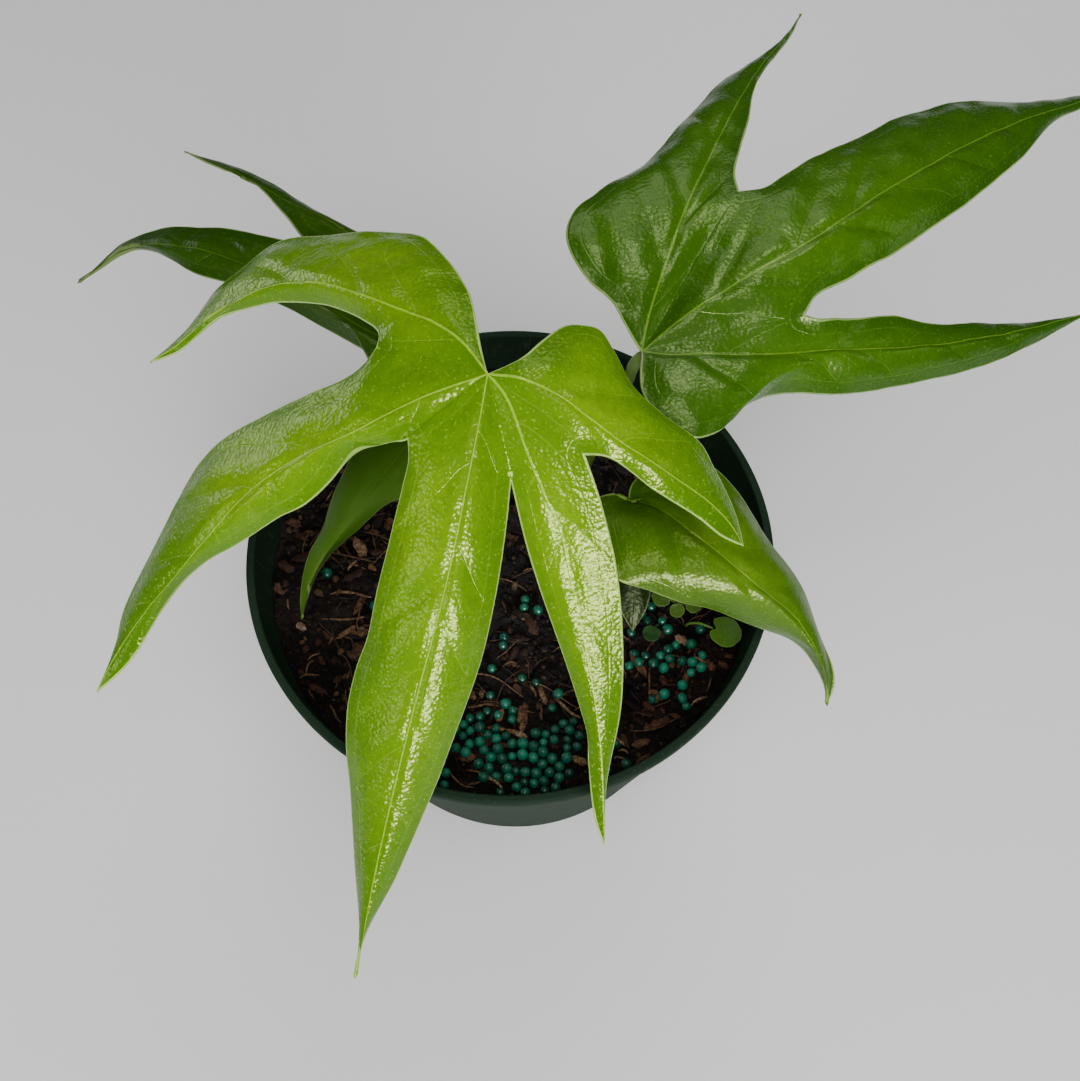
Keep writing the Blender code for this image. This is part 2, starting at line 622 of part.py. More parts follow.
def heap_object():
    """Heap of fertiliser beads lying against each other just above the level bed."""
    draw = random.Random(SOIL_SEED)
    beads = []
    row_step = PRILL_SPACING * math.sqrt(3) / 2
    rows = int(HEAP_RADII[1] / row_step) + 1
    columns = int(HEAP_RADII[0] / PRILL_SPACING) + 1
    floor = SOIL_LEVEL + GAP + PRILL_RADIUS
    for row in range(-rows, rows + 1):
        for column in range(-columns, columns + 1):
            x = HEAP_CENTRE[0] + (column + 0.5 * (row % 2)) * PRILL_SPACING
            x += draw.uniform(-PRILL_SHIFT, PRILL_SHIFT)
            y = HEAP_CENTRE[1] + row * row_step + draw.uniform(-PRILL_SHIFT, PRILL_SHIFT)
            lift = draw.uniform(0, PRILL_LIFT)
            if heap_distance(x, y) < draw.uniform(0.8, 1.0):
                beads.append(prill(x, y, floor + lift, draw))
    combine(beads[0], beads[1:], "UNION")
    heap = beads[0]
    heap.name = "fertiliser_heap"
    return heap


def stem_object():
    """Short stem with a ringed side and a socket for each leaf stalk's foot."""
    profile = [(0, STEM_FOOT), (STEM_RADIUS - 1, STEM_FOOT), (STEM_RADIUS, STEM_FOOT + 1),
               (STEM_RADIUS, STEM_TOP - 7), (STEM_RADIUS - 0.5, STEM_TOP - 6),
               (STEM_RADIUS, STEM_TOP - 5), (STEM_RADIUS - 0.2, STEM_TOP - 2.5),
               (STEM_RADIUS - 1.2, STEM_TOP - 0.6), (STEM_RADIUS - 3.5, STEM_TOP), (0, STEM_TOP)]
    body = lathe(profile, STEM_SEGMENTS)
    body.transform(Matrix.Translation((*STEM_PLACE, 0)))
    stem = add_object("stem", body)
    cutters = []
    for leaf in (LEAF_FRONT, LEAF_RIGHT, LEAF_LEFT, LEAF_LOW, LEAF_YOUNG):
        cutters.append(add_object("socket", petiole_tube(leaf, GAP, GAP)))
    combine(stem, cutters, "DIFFERENCE")
    return stem


def round_leaflet(centre, radius, notch_towards):
    """Shallow round cup with a notch on one side and a slightly wavy rim."""
    surface = bmesh.new()
    middle = surface.verts.new((*centre[:2], centre[2] - LEAFLET_DEPTH))
    rim = []
    steps = 14 if radius > 4 else 10
    for step in range(steps):
        reach = radius * (LEAFLET_NOTCH if step == 0 else 1.0 - 0.04 * (step % 2))
        angle = math.radians(notch_towards) + math.tau * step / steps
        rim.append(surface.verts.new((centre[0] + reach * math.cos(angle),
                                      centre[1] + reach * math.sin(angle), centre[2])))
    for step in range(steps):
        surface.faces.new([middle, rim[step], rim[(step + 1) % steps]])
    face_upwards(surface)
    return thicken(surface, WEED_THICKNESS)


def weed_object(name, weed):
    """Seedling with one leaflet on a thin stalk, and the cutter for its hole in the bed."""
    leaflet = add_object(name, round_leaflet(weed["centre"], weed["radius"], weed["notch_towards"]))
    end = Vector(weed["centre"]) - Vector((0, 0, STALK_END_BELOW_RIM))
    path = weed["stalk"] + [tuple(end)]
    stalk = add_object("stalk", tube(path, [STALK_RADIUS] * len(path), 6))
    combine(leaflet, [stalk], "UNION")
    return leaflet, stalk_hole(weed["stalk"])


def stalk_hole(stalk):
    """Plain upright hole round a stalk's foot."""
    foot = stalk[0]
    ends = [(foot[0], foot[1], foot[2] - GAP), (foot[0], foot[1], SOIL_LEVEL + 8)]
    return add_object("stalk_hole", tube(ends, [STALK_RADIUS * 3 + GAP] * 2, 8))


def clover_object():
    """Seedling with three leaflets on stalks that part above the bed."""
    foot = WEED_CLOVER["foot"]
    base = add_object("weed_clover", tube(foot, [STALK_RADIUS] * len(foot), 6))
    pieces = []
    for radius, centre in WEED_CLOVER["leaflets"]:
        towards = math.degrees(math.atan2(foot[-1][1] - centre[1], foot[-1][0] - centre[0]))
        leaflet = round_leaflet(centre, radius, towards)
        pieces.append(add_object("leaflet", leaflet))
        middle = (Vector(foot[-1]) + Vector(centre)) / 2
        end = Vector(centre) - Vector((0, 0, STALK_END_BELOW_RIM))
        path = [foot[-2], foot[-1], tuple(middle), tuple(end)]
        pieces.append(add_object("stalk", tube(path, [STALK_RADIUS * 0.9] * len(path), 5)))
    combine(base, pieces, "UNION")
    return base, stalk_hole(foot)


def build():
    """Model every piece of the plant and its pot."""
    clear_scene()
    finish(pot_object(), plain_material("pot_plastic", (0.030, 0.050, 0.028), 0.45), 35)

    round_leaf, round_hole = weed_object("weed_round_leaf", WEED_ROUND_LEAF)
    seedling, seedling_hole = weed_object("weed_seedling", WEED_SEEDLING)
    clover, clover_hole = clover_object()
    finish(round_leaf, plain_material("weed_green", (0.055, 0.110, 0.020), 0.6), 40)
    finish(seedling, plain_material("weed_dark_green", (0.015, 0.040, 0.012), 0.6), 40)
    finish(clover, plain_material("clover_green", (0.040, 0.080, 0.010), 0.6), 40)

    soil = potting_mix_object([round_hole, seedling_hole, clover_hole])
    finish(soil, plain_material("dark_potting_mix", (0.018, 0.012, 0.009), 0.95), 30)
    finish(heap_object(), plain_material("teal_prill", (0.004, 0.120, 0.090), 0.4), 60)
    finish(stem_object(), plain_material("stem_green", (0.070, 0.110, 0.025), 0.6), 35)

    leaves = (
        ("leaf_front", LEAF_FRONT, (0.215, 0.400, 0.012)),
        ("leaf_right", LEAF_RIGHT, (0.065, 0.150, 0.008)),
        ("leaf_left", LEAF_LEFT, (0.028, 0.065, 0.010)),
        ("leaf_low", LEAF_LOW, (0.110, 0.220, 0.010)),
        ("leaf_young", LEAF_YOUNG, (0.012, 0.032, 0.008)),
    )
    for name, leaf, colour in leaves:
        finish(leaf_object(name, leaf), plain_material(name + "_green", colour, 0.38), 60)


build()
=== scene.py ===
"""Young anthurium with hand-shaped leaves in a nursery pot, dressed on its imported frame.

Shapes are worked out in millimetres in the frame of the model, and every mesh is written in metres.
A leaf is a set of lobes. Each lobe has a midrib, a line of points from the leaf's junction to the
lobe's tip, and two margins in plan. A margin starts at the sinus shared with the next lobe, or at
the junction on the leaf's open side.
"""
import math

import bpy
import numpy as np
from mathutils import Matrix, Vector
from numpy.random import default_rng


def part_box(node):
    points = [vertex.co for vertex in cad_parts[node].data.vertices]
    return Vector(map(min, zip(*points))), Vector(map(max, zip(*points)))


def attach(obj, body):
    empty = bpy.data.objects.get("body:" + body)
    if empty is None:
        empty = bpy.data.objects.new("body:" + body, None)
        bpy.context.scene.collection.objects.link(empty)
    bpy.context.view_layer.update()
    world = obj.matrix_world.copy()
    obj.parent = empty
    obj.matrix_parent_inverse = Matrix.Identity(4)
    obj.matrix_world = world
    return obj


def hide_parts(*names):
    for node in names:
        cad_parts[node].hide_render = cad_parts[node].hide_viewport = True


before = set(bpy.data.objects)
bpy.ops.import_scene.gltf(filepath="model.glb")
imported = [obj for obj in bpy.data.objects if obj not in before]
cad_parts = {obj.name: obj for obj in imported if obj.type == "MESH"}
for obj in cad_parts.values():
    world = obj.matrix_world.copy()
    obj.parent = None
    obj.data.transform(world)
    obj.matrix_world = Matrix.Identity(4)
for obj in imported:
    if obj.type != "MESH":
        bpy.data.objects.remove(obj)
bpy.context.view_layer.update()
POT_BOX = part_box("pot")
STEM_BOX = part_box("stem")
HEAP_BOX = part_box("fertiliser_heap")

bl_info = {
    "name": "Potted Anthurium",
    "version": (1, 0, 0),
    "blender": (4, 5, 0),
    "location": "View3D > Sidebar > Anthurium",
    "description": "Lobed leaves, potting mix, fertiliser and nursery pot of a young anthurium",
    "category": "Add Mesh",
}

MM = 0.001

CAMERA_PLACE = (8.7, -145.3, 394.0)
CAMERA_DIP = 62.9
CAMERA_LENS = 36.07
CAMERA_SENSOR = 36.0
PICTURE = (1080, 1081)
# Millimetres on the potting mix per pixel of the picture.
PIXEL = 0.29

POT_WALL = 1.3
POT_LIP_HEIGHT = 4.0
POT_LIP_STEP = 1.2
POT_LIP_ROUND = 0.9
POT_LIP_INNER_ROUND = 0.6
POT_BASE_RADIUS = 60.0
POT_BASE_ROUND = 3.0
POT_FLOOR_ROUND = 2.0
DRAIN_HOLE_RADIUS = 4.0
DRAIN_HOLE_CIRCLE = 46.0
DRAIN_HOLES = 6
# Radii between which each drain hole has its own patch of the base.
DRAIN_PATCH = (37.0, 53.0)

SOIL_LEVEL = 93.5
SOIL_RADIUS = 77.5
SOIL_RELIEF = 0.9
SOIL_RISE_AT_WALL = 1.2
SOIL_GAP = 0.02
SOIL_FLOOR_GAP = 0.05
SOIL_SIDE_STEP = 60.0
SOIL_SEED = 12
CRUMBS = 3600
STREWN_CHIPS = 300
STREWN_STRAWS = 330
SEEN_LIFT = 0.9
PRILL_RADIUS = 1.55
# Prills that the leaves hide in the picture: middle, spread and number of each cloud.
PRILL_CLOUDS = [((3.0, -55.0), (17.0, 8.0), 70), ((44.0, -27.0), (9.0, 8.0), 22)]
STREWN_PRILLS = 16

STEM_PLACE = (15.0, 14.0)
STEM_RADIUS = 7.5
STEM_SCAR_SPACING = 3.1
SHEATH_TURNS = (25.0, 97.0, 168.0, 243.0, 316.0)
SHEATH_FOOT = 92.0
SHEATH_THICKNESS = 0.3

HALF_LOBE_COLUMNS = 22
SETTLING_ROUNDS = 45
COLLECTIVE_VEIN = 3.6
PILLOW_RISE = 0.62
RIB_HEIGHT = 1.1
RIB_HALF_WIDTH = 1.5
STALK_RADII = (1.8, 1.3, 1.15, 1.2, 1.5)
STALK_ROWS = 110
STALK_SIDES = 20
STALK_COLOUR = (0.09, 0.16, 0.02)
WEED_STALK_RADII = (0.5, 0.36)
WEED_STALK_ROWS = 30
WEED_STALK_SIDES = 10
# Painted light: a lighter colour for the left leaf's lobe that hangs toward the front, where it is
# lit and shows a sheen.
LEFT_LEAF_PAINTED_LIGHT = (0.070, 0.160, 0.016)
# What the maps "veins" and "rim" say on a blade's round edge and on a stalk, clear of every vein.
# On the round edge the rim distance is 0, so the whole edge takes the painted highlight of the
# margin.
EDGE_VALUES = (0.5, 9.0, 0.0, 0.5)
STALK_VALUES = (0.5, 9.0, 9.0, 0.5)

# Scraps on the potting mix that the picture shows, in its pixels. A straw or chip has both ends,
# its width and its shade, and a prill its middle.
SEEN_STRAWS = [
    (264, 534, 296, 541, 3, 0.8), (357, 561, 348, 571, 3, 0.85), (330, 594, 371, 596, 3, 0.75),
    (288, 601, 290, 611, 2.5, 0.6), (331, 633, 328, 644, 2, 0.6), (293, 639, 296, 678, 2.6, 0.8),
    (296, 677, 318, 711, 2.6, 0.75), (286, 653, 291, 667, 2.2, 0.6), (306, 674, 314, 660, 2.2, 0.6),
    (299, 678, 319, 674, 2.4, 0.65), (348, 681, 351, 673, 2, 0.65), (524, 656, 529, 679, 1.6, 0.5),
    (530, 684, 536, 697, 3, 0.7), (554, 698, 580, 718, 3.2, 0.85), (540, 704, 541, 720, 2, 0.6),
    (469, 708, 499, 706, 2.6, 0.65), (446, 768, 474, 787, 2.6, 0.7), (466, 770, 493, 770, 2.6, 0.7),
    (477, 772, 504, 793, 3.2, 0.9), (452, 785, 458, 799, 2.2, 0.6), (467, 785, 484, 779, 2.2, 0.6),
    (477, 794, 489, 800, 3, 0.8), (694, 655, 695, 670, 1.6, 0.8), (690, 707, 708, 696, 2.6, 0.9),
    (711, 679, 706, 692, 1.6, 0.6), (687, 726, 706, 715, 2.6, 0.75), (697, 715, 687, 717, 2.4, 0.8),
    (652, 762, 669, 743, 2.2, 0.75), (615, 738, 627, 745, 2.8, 0.85),
    (618, 751, 628, 754, 2.4, 0.85), (613, 758, 626, 759, 2.4, 0.85),
    (330, 706, 342, 724, 2.4, 0.65), (310, 690, 316, 702, 2.2, 0.55),
]
SEEN_CHIPS = [
    (294, 532, 307, 539, 8, 0.5), (280, 518, 293, 526, 11, 0.62), (355, 536, 365, 559, 13, 0.85),
    (254, 562, 271, 572, 12, 0.4), (259, 591, 267, 599, 8, 0.6), (277, 587, 283, 592, 6, 0.62),
    (296, 624, 306, 630, 8, 0.95), (336, 639, 357, 624, 6, 0.7), (319, 656, 325, 666, 6, 0.45),
    (310, 686, 328, 695, 8, 0.42), (539, 683, 546, 704, 7, 0.8), (503, 710, 497, 722, 8, 0.74),
    (487, 727, 506, 730, 5, 0.78), (505, 729, 524, 735, 5, 0.66), (515, 732, 527, 737, 6, 0.92),
    (491, 743, 511, 747, 6, 0.4), (459, 758, 476, 757, 10, 0.6), (572, 757, 587, 763, 8, 0.82),
    (549, 743, 558, 748, 6, 0.38), (565, 785, 572, 773, 6, 0.35), (631, 656, 646, 676, 9, 0.62),
    (675, 636, 688, 642, 11, 0.88), (704, 662, 714, 672, 10, 0.55), (720, 663, 729, 670, 8, 0.6),
    (636, 766, 651, 755, 5, 0.76), (632, 747, 649, 742, 9, 0.64), (650, 726, 669, 721, 9, 0.52),
    (643, 703, 655, 712, 8, 0.45), (660, 676, 668, 684, 7, 0.42), (527, 618, 537, 636, 12, 0.5),
]
SEEN_PRILLS = [
    (327, 573), (373, 603), (524, 607), (525, 598), (538, 610), (504, 637), (503, 646), (492, 670),
    (522, 678), (536, 683), (558, 694), (552, 707), (490, 695), (506, 703), (512, 709), (512, 719),
    (480, 718), (469, 720), (487, 712), (498, 716), (473, 730), (463, 740), (461, 747), (484, 739),
    (499, 738), (488, 752), (512, 743), (523, 744), (536, 733), (545, 735), (555, 729), (564, 723),
    (573, 722), (569, 729), (554, 740), (567, 741), (579, 735), (577, 746), (566, 750), (533, 748),
    (544, 749), (544, 756), (510, 756), (531, 756), (500, 757), (563, 758), (539, 762), (555, 764),
    (506, 765), (545, 768), (518, 772), (528, 772), (510, 776), (555, 774), (565, 774), (556, 781),
    (544, 779), (536, 782), (524, 781), (517, 787), (525, 794), (545, 791), (500, 796), (444, 785),
    (655, 596), (653, 605), (643, 616), (631, 632), (700, 630), (691, 644), (645, 656), (661, 656),
    (668, 657), (669, 651), (653, 664), (664, 667), (682, 663), (691, 665), (701, 658), (699, 670),
    (690, 675), (682, 686), (664, 694), (652, 700), (682, 698), (686, 707), (626, 764), (674, 646),
    (667, 630), (437, 774),
]

LEAF_FRONT = {
    "junction": (-3, -1.5, 195),
    "sinus_at": 0.22,
    "sinuses": [(-29.5, 10.5, 189), (-21.5, -12, 184.5), (2, -19, 177.5), (18.5, -17, 186)],
    "petiole": [(10.9, 12.5, 96.3), (9.5, 12, 112), (5, 8, 145), (0, 2.5, 175), (-2.8, -1, 190)],
    "lobes": [
        {"falls": (2.5, 2.5),
         "midrib": [(-9, 7, 196), (-15, 12.5, 195), (-28.5, 21.5, 192), (-48.5, 36, 182),
                    (-60.5, 41, 175), (-83.5, 40.5, 159), (-93, 38, 152), (-101, 38, 146)],
         "before": [(-4.5, 4), (-8.5, 24), (-14, 35.5), (-23, 48), (-34, 52.5), (-48, 57.5),
                    (-61.5, 61), (-71, 58.5), (-79.5, 54.5), (-91, 42)],
         "after": [(-29.5, 15), (-34, 21), (-64.5, 40), (-77, 42), (-92.5, 37)]},
        {"falls": (2.5, 2.5),
         "midrib": [(-21.5, -6, 190), (-31.5, -8.5, 185), (-55, -12, 170), (-64.5, -15.5, 163),
                    (-74.5, -21, 153), (-84.5, -27.5, 144), (-103.5, -41.5, 125),
                    (-110, -49.5, 118)],
         "before": [(-32, 8), (-47, 6), (-59, 6), (-81, -0.5), (-91.5, -15), (-101.5, -29),
                    (-106.5, -44)],
         "after": [(-27.5, -11), (-34.5, -10.5), (-41.5, -15), (-47.5, -18), (-56, -19.5),
                   (-82.5, -26.5), (-103.5, -46)]},
        {"falls": (2.5, 2.5),
         "midrib": [(-4.5, -9.5, 192), (-6.5, -17.5, 186), (-13, -41.5, 168), (-20.5, -62.5, 150),
                    (-34.5, -105.5, 111), (-36.5, -113, 104), (-38.5, -119, 97)],
         "before": [(-21.5, -15.5), (-23, -20), (-30.5, -40.5), (-32.5, -47), (-36, -53.5),
                    (-39, -69), (-38.5, -76.5), (-37.5, -100), (-37, -107)],
         "after": [(1, -26.5), (-4, -49), (-15, -74), (-27, -96.5), (-36.5, -112)]},
        {"falls": (2.5, 2.5),
         "midrib": [(0, -4.5, 193), (6, -16, 184), (10, -22.5, 176), (13.5, -27.5, 169),
                    (15.5, -34, 163), (24, -68.5, 128), (25.5, -88, 108)],
         "before": [(5.5, -29.5), (18.5, -59), (20.5, -64.5), (21, -70.5), (23.5, -83.5)],
         "after": [(22, -22.5), (29, -57.5), (25.5, -77)]},
        {"falls": (2.5, 1.0),
         "midrib": [(7, -4, 196), (12.5, -6, 194), (18.5, -9.5, 191), (24.5, -12, 187),
                    (36.5, -17, 180), (49.5, -20.5, 169), (54.5, -23, 164), (58.5, -26, 158)],
         "before": [(23.5, -16), (35.5, -21), (47, -24), (52.5, -26)],
         "after": [(3.5, 1.5), (18, 15.5), (23, 15.5), (26, 12), (32.5, 2.5), (37.5, -1),
                   (48, -6), (51, -10.5), (57, -21.5)]},
    ],
}

LEAF_RIGHT = {
    "junction": (34, 19, 176),
    "sinus_at": 0.27,
    "sinuses": [(60, 62.5, 186), (74, 26.5, 181)],
    "petiole": [(18.6, 16.5, 96.3), (20.5, 17.3, 112), (26, 18.5, 140), (31.5, 18.8, 164),
                (33, 18.9, 172)],
    "lobes": [
        {"falls": (2.0, 2.0),
         "midrib": [(35, 24, 179), (40.5, 41.5, 183), (45.5, 56, 185), (52, 72.5, 184),
                    (74.5, 125.5, 174), (84, 144, 168), (93, 165, 161)],
         "before": [(29.5, 25.5), (27, 30.5), (21.5, 36), (15.5, 50.5), (18, 59), (23, 65),
                    (37, 78.5), (50, 99.5), (66.5, 124.5), (76.5, 134.5), (85, 147.5)],
         "after": [(59.5, 68), (62.5, 81.5), (66.5, 95.5), (69.5, 109), (88, 151)]},
        {"falls": (2.0, 2.0),
         "midrib": [(39.5, 23, 179), (60, 35.5, 185), (73, 43, 187), (103.5, 67.5, 185),
                    (138, 94.5, 178), (167.5, 115, 169), (181.5, 126, 163)],
         "before": [(65.5, 63.5), (73.5, 70), (92.5, 84.5), (126, 106), (137.5, 109.5),
                    (151.5, 112), (162.5, 117)],
         "after": [(77, 31.5), (87, 38), (142, 86), (160, 107.5), (168.5, 114)]},
        {"falls": (2.0, 5.0),
         "midrib": [(40.5, 17.5, 177), (47, 17.5, 177), (64, 18, 176), (82.5, 21.5, 173),
                    (101.5, 25.5, 169), (134, 37, 160), (164.5, 51.5, 151)],
         "before": [(77.5, 26), (84, 28), (102, 34.5), (111, 35), (121, 38), (148.5, 45.5)],
         "after": [(34, 6.5), (47, -4.5), (53, -1), (58, 5.5), (63.5, 10), (85.5, 14.5),
                   (133.5, 32)]},
    ],
}

LEAF_LEFT = {
    "junction": (-14, 24.5, 156),
    "sinus_at": 0.25,
    "sinuses": [(-47.5, 58.5, 163.5), (-34, 25.5, 153.5)],
    "petiole": [(12.5, 17.6, 96.3), (10, 18.5, 108), (0, 21, 128), (-10, 23.5, 147),
                (-13.6, 24.3, 153)],
    "lobes": [
        {"falls": (1.5, 1.5),
         "midrib": [(-25.5, 45, 164), (-36.5, 58, 166), (-48, 69.5, 167), (-59.5, 77, 166),
                    (-82, 96, 161), (-99.5, 110, 155)],
         "before": [(-12, 32), (-23, 57), (-42, 68), (-59, 80.5), (-70, 90.5)],
         "after": [(-57.5, 67), (-63, 75), (-75.5, 90), (-83.5, 96)]},
        {"falls": (1.5, 1.5),
         "midrib": [(-24, 30.5, 159), (-34, 35.5, 161), (-57, 50.5, 161), (-93.5, 72, 155),
                    (-116, 78.5, 147), (-131.5, 73.5, 137)],
         "before": [(-55.5, 65), (-64.5, 69.5), (-85.5, 78), (-106, 82.5), (-116, 81)],
         "after": [(-36, 33), (-41.5, 37), (-69.5, 54.5), (-78, 59.5), (-86.5, 63),
                   (-113.5, 79), (-127.5, 75)]},
        {"falls": (1.5, 1.5),
         "midrib": [(-23, 15, 149), (-30, 9, 142), (-38, 3, 135), (-45, -3.5, 127),
                    (-57, -14, 112), (-61, -22, 102)],
         "before": [(-46.5, 9), (-50.5, 4), (-53.5, -1.5), (-57.5, -6.5), (-61, -17.5)],
         "after": [(-15, 15.5), (-20.5, 7.5), (-28.5, 1), (-33.5, 0.5), (-42.5, -3.5),
                   (-55, -11)]},
    ],
}

LEAF_LOW = {
    "junction": (32.5, -3.5, 140),
    "sinus_at": 0.0,
    "sinuses": [],
    "petiole": [(18.8, 11.8, 96.3), (21, 10, 107), (27, 3.5, 121), (32.2, -2.0, 131),
                (33.7, -3.9, 135.5)],
    "lobes": [
        {"falls": (1.5, 1.5),
         "midrib": [(36, -4.5, 141), (51, -16.5, 143), (63.5, -25.5, 138), (78, -33, 127),
                    (87, -44, 113), (88, -49.5, 106)],
         "before": [(33, 0), (48, 7), (56, 6), (61, 1.5), (71, -11.5), (81, -23), (84.5, -30.5),
                    (89.5, -46)],
         "after": [(30.5, -2), (24, -3.5), (24.5, -10), (26, -20), (28.5, -26.5), (36.5, -28.5),
                   (45, -30.5), (54.5, -31), (63.5, -32.5), (82, -37.5), (87.5, -46)]},
    ],
}

LEAF_YOUNG = {
    "junction": (35, -5, 110),
    "sinus_at": 0.0,
    "sinuses": [],
    "petiole": [(14.6, 9.6, 96.3), (16, 5, 104), (24, -1, 110), (31, -4, 111), (34, -4.8, 110)],
    "lobes": [
        {"falls": (0.6, 0.6),
         "midrib": [(36, -10, 109), (36.5, -16, 105), (36, -24, 98)],
         "before": [(39, -8), (41, -13), (40, -18)],
         "after": [(32, -8), (31, -13), (32.5, -19)]},
    ],
}

# For each leaf: its table, the rows of a lobe before and beyond the sinus, the seed of its waves,
# the strength and lightness of its veins, its sheen and its slot. A sheen has its strength and
# roughness, the share of the wrinkles and the blue of the reflections.
LEAVES = {
    "front": (LEAF_FRONT, (34, 104), 41, 0.16, 1.0, (0.42, 0.16, 1.0, 0.30), "bright_leaf"),
    "right": (LEAF_RIGHT, (34, 120), 52, 0.14, 0.5, (0.38, 0.21, 0.25, 0.50), "dark_leaf"),
    "left": (LEAF_LEFT, (26, 84), 63, 0.14, 0.3, (0.16, 0.26, 0.4, 0.50), "shaded_leaf"),
    "low": (LEAF_LOW, (30, 90), 74, 0.14, 0.5, (0.42, 0.25, 0.6, 0.40), "low_leaf"),
    "young": (LEAF_YOUNG, (10, 36), 85, 0.2, 0.2, (0.2, 0.30, 0.5, 0.60), "young_leaf"),
}

# Seedlings. A leaf has its middle, radius, the way its notch faces, the notch's depth, cup, and
# its tilt about an axis turned by the last angle. A stalk is a line of points.
WEEDS = {
    "weed_round_leaf": {
        "colour": "round_colour",
        "leaves": [((63, -24.5, 98.8), 4.8, 158, 0.42, 0.5, 6, 20)],
        "stalks": [[(52.5, -20, 89.5), (53, -20.2, 95), (56, -21.4, 98), (59.6, -23.1, 98.4)]]},
    "weed_clover": {
        "colour": "clover_colour",
        "leaves": [((44.8, -13.8, 99.3), 2.9, 345, 0.10, 0.35, 8, 60),
                   ((49.2, -18, 99.8), 2.2, 100, 0.10, 0.3, -10, 20),
                   ((54, -16, 99.3), 2.6, 195, 0.10, 0.3, 9, 10)],
        "stalks": [[(50, -14, 89.5), (50, -14, 94.5), (50, -14.6, 97.0)],
                   [(50, -14.6, 96.8), (48.6, -14.3, 98.4), (47.0, -14.0, 98.9)],
                   [(50, -14.6, 96.8), (49.8, -15.4, 98.8), (49.4, -16.4, 99.5)],
                   [(50, -14.6, 96.8), (51.4, -15.2, 98.4), (52.2, -15.6, 98.9)]]},
    "weed_seedling": {
        "colour": "seedling_colour",
        "leaves": [((41.5, -24.5, 97.8), 2.6, 60, 0.25, 0.3, 7, 90)],
        "stalks": [[(44, -20.5, 89.5), (44, -20.5, 94.5), (43.2, -21.6, 96.8),
                    (42.5, -22.8, 97.5)]]},
}

BARK_STOPS = [(0.05, (0.005, 0.003, 0.0025)), (0.25, (0.018, 0.008, 0.005)),
              (0.45, (0.060, 0.020, 0.010)), (0.62, (0.120, 0.054, 0.022)),
              (0.80, (0.220, 0.115, 0.048)), (0.97, (0.330, 0.220, 0.140))]
STRAW_STOPS = [(0.10, (0.014, 0.008, 0.005)), (0.45, (0.080, 0.036, 0.016)),
               (0.75, (0.230, 0.120, 0.050)), (1.0, (0.420, 0.270, 0.150))]

# Soft lights: name, azimuth (0 behind the plant, 90 to its right), elevation, width, height,
# power, and whether it gives the gloss (True) or the fill (False).
LIGHT_DISTANCE = 1.3
LIGHTS_AIM = (0.0, 0.0, 0.12)
SOFT_LIGHTS = [
    ("overhead_light", 165.0, 64.0, 0.9, 0.9, 13.5, False),
    ("low_front_light", 158.0, 23.0, 0.6, 0.4, 9.0, False),
    ("behind_light", 15.0, 34.0, 1.0, 0.6, 6.0, False),
    ("low_left_light", 228.0, 20.0, 0.5, 0.3, 5.5, False),
    ("front_light", 167.0, 23.0, 0.6, 0.32, 32.0, True),
    ("top_front_light", 180.0, 80.0, 0.3, 0.3, 3.2, True),
    ("top_light", 20.0, 66.0, 0.4, 0.3, 4.0, True),
    ("back_light", 0.0, 42.0, 0.6, 0.3, 1.6, True),
    ("left_light", 300.0, 10.0, 0.6, 0.25, 2.6, True),
    ("left_front_light", 240.0, 24.0, 0.4, 0.3, 2.6, True),
    ("right_light", 95.0, 30.0, 0.5, 0.3, 0.9, True),
]
FLOOR_REACH = 3.0


def length_setting(name, description, default):
    """Length, in metres."""
    return bpy.props.FloatProperty(name=name, description=description, default=default,
                                   subtype="DISTANCE")


def colour_setting(name, description, default):
    """Linear colour."""
    return bpy.props.FloatVectorProperty(name=name, description=description, default=default,
                                         size=3, subtype="COLOR")


class LeafSettings(bpy.types.PropertyGroup):
    """Sizes and colours of the leaves."""

    thickness: length_setting(
        "Blade thickness", "Thickness of a leaf blade between its veins", 0.0005)
    vein_spacing: length_setting(
        "Vein spacing", "Distance between a strong and a weak side vein", 0.0115)
    quilting: length_setting("Quilting", "Height of the pillows between side veins", 0.0008)
    front_colour: colour_setting(
        "Front leaf", "Colour of the youngest large leaf", (0.145, 0.315, 0.001))
    right_colour: colour_setting(
        "Right leaf", "Colour of the leaf at the back right", (0.044, 0.135, 0.001))
    left_colour: colour_setting(
        "Left leaf", "Colour of the leaf at the back left", (0.028, 0.082, 0.001))
    low_colour: colour_setting(
        "Low leaf", "Colour of the small undivided leaf", (0.080, 0.190, 0.001))
    young_colour: colour_setting(
        "Young leaf", "Colour of the smallest leaf", (0.014, 0.034, 0.003))


class PotSettings(bpy.types.PropertyGroup):
    """Sizes and colour of the pot."""

    rim_radius: length_setting("Rim radius", "Outer radius of the lip", POT_BOX[1][0])
    height: length_setting("Height", "Height of the pot", POT_BOX[1][2])
    segments: bpy.props.IntProperty(
        name="Segments", description="Steps round the pot", default=192, min=48)
    colour: colour_setting("Plastic", "Colour of the pot's plastic", (0.011, 0.024, 0.013))


class WeedSettings(bpy.types.PropertyGroup):
    """Colours of the seedlings."""

    round_colour: colour_setting(
        "Round leaf", "Colour of the round notched leaf", (0.070, 0.170, 0.012))
    clover_colour: colour_setting(
        "Clover", "Colour of the seedling with three leaflets", (0.070, 0.150, 0.008))
    seedling_colour: colour_setting(
        "Seedling", "Colour of the dark round leaflet", (0.012, 0.060, 0.006))


class StageSettings(bpy.types.PropertyGroup):
    """Floor and lights."""

    floor_colour: colour_setting("Floor", "Colour of the pale floor", (0.84, 0.84, 0.835))
    room_light: bpy.props.FloatProperty(
        name="Room light", description="Strength of the even light from all round", default=0.04)


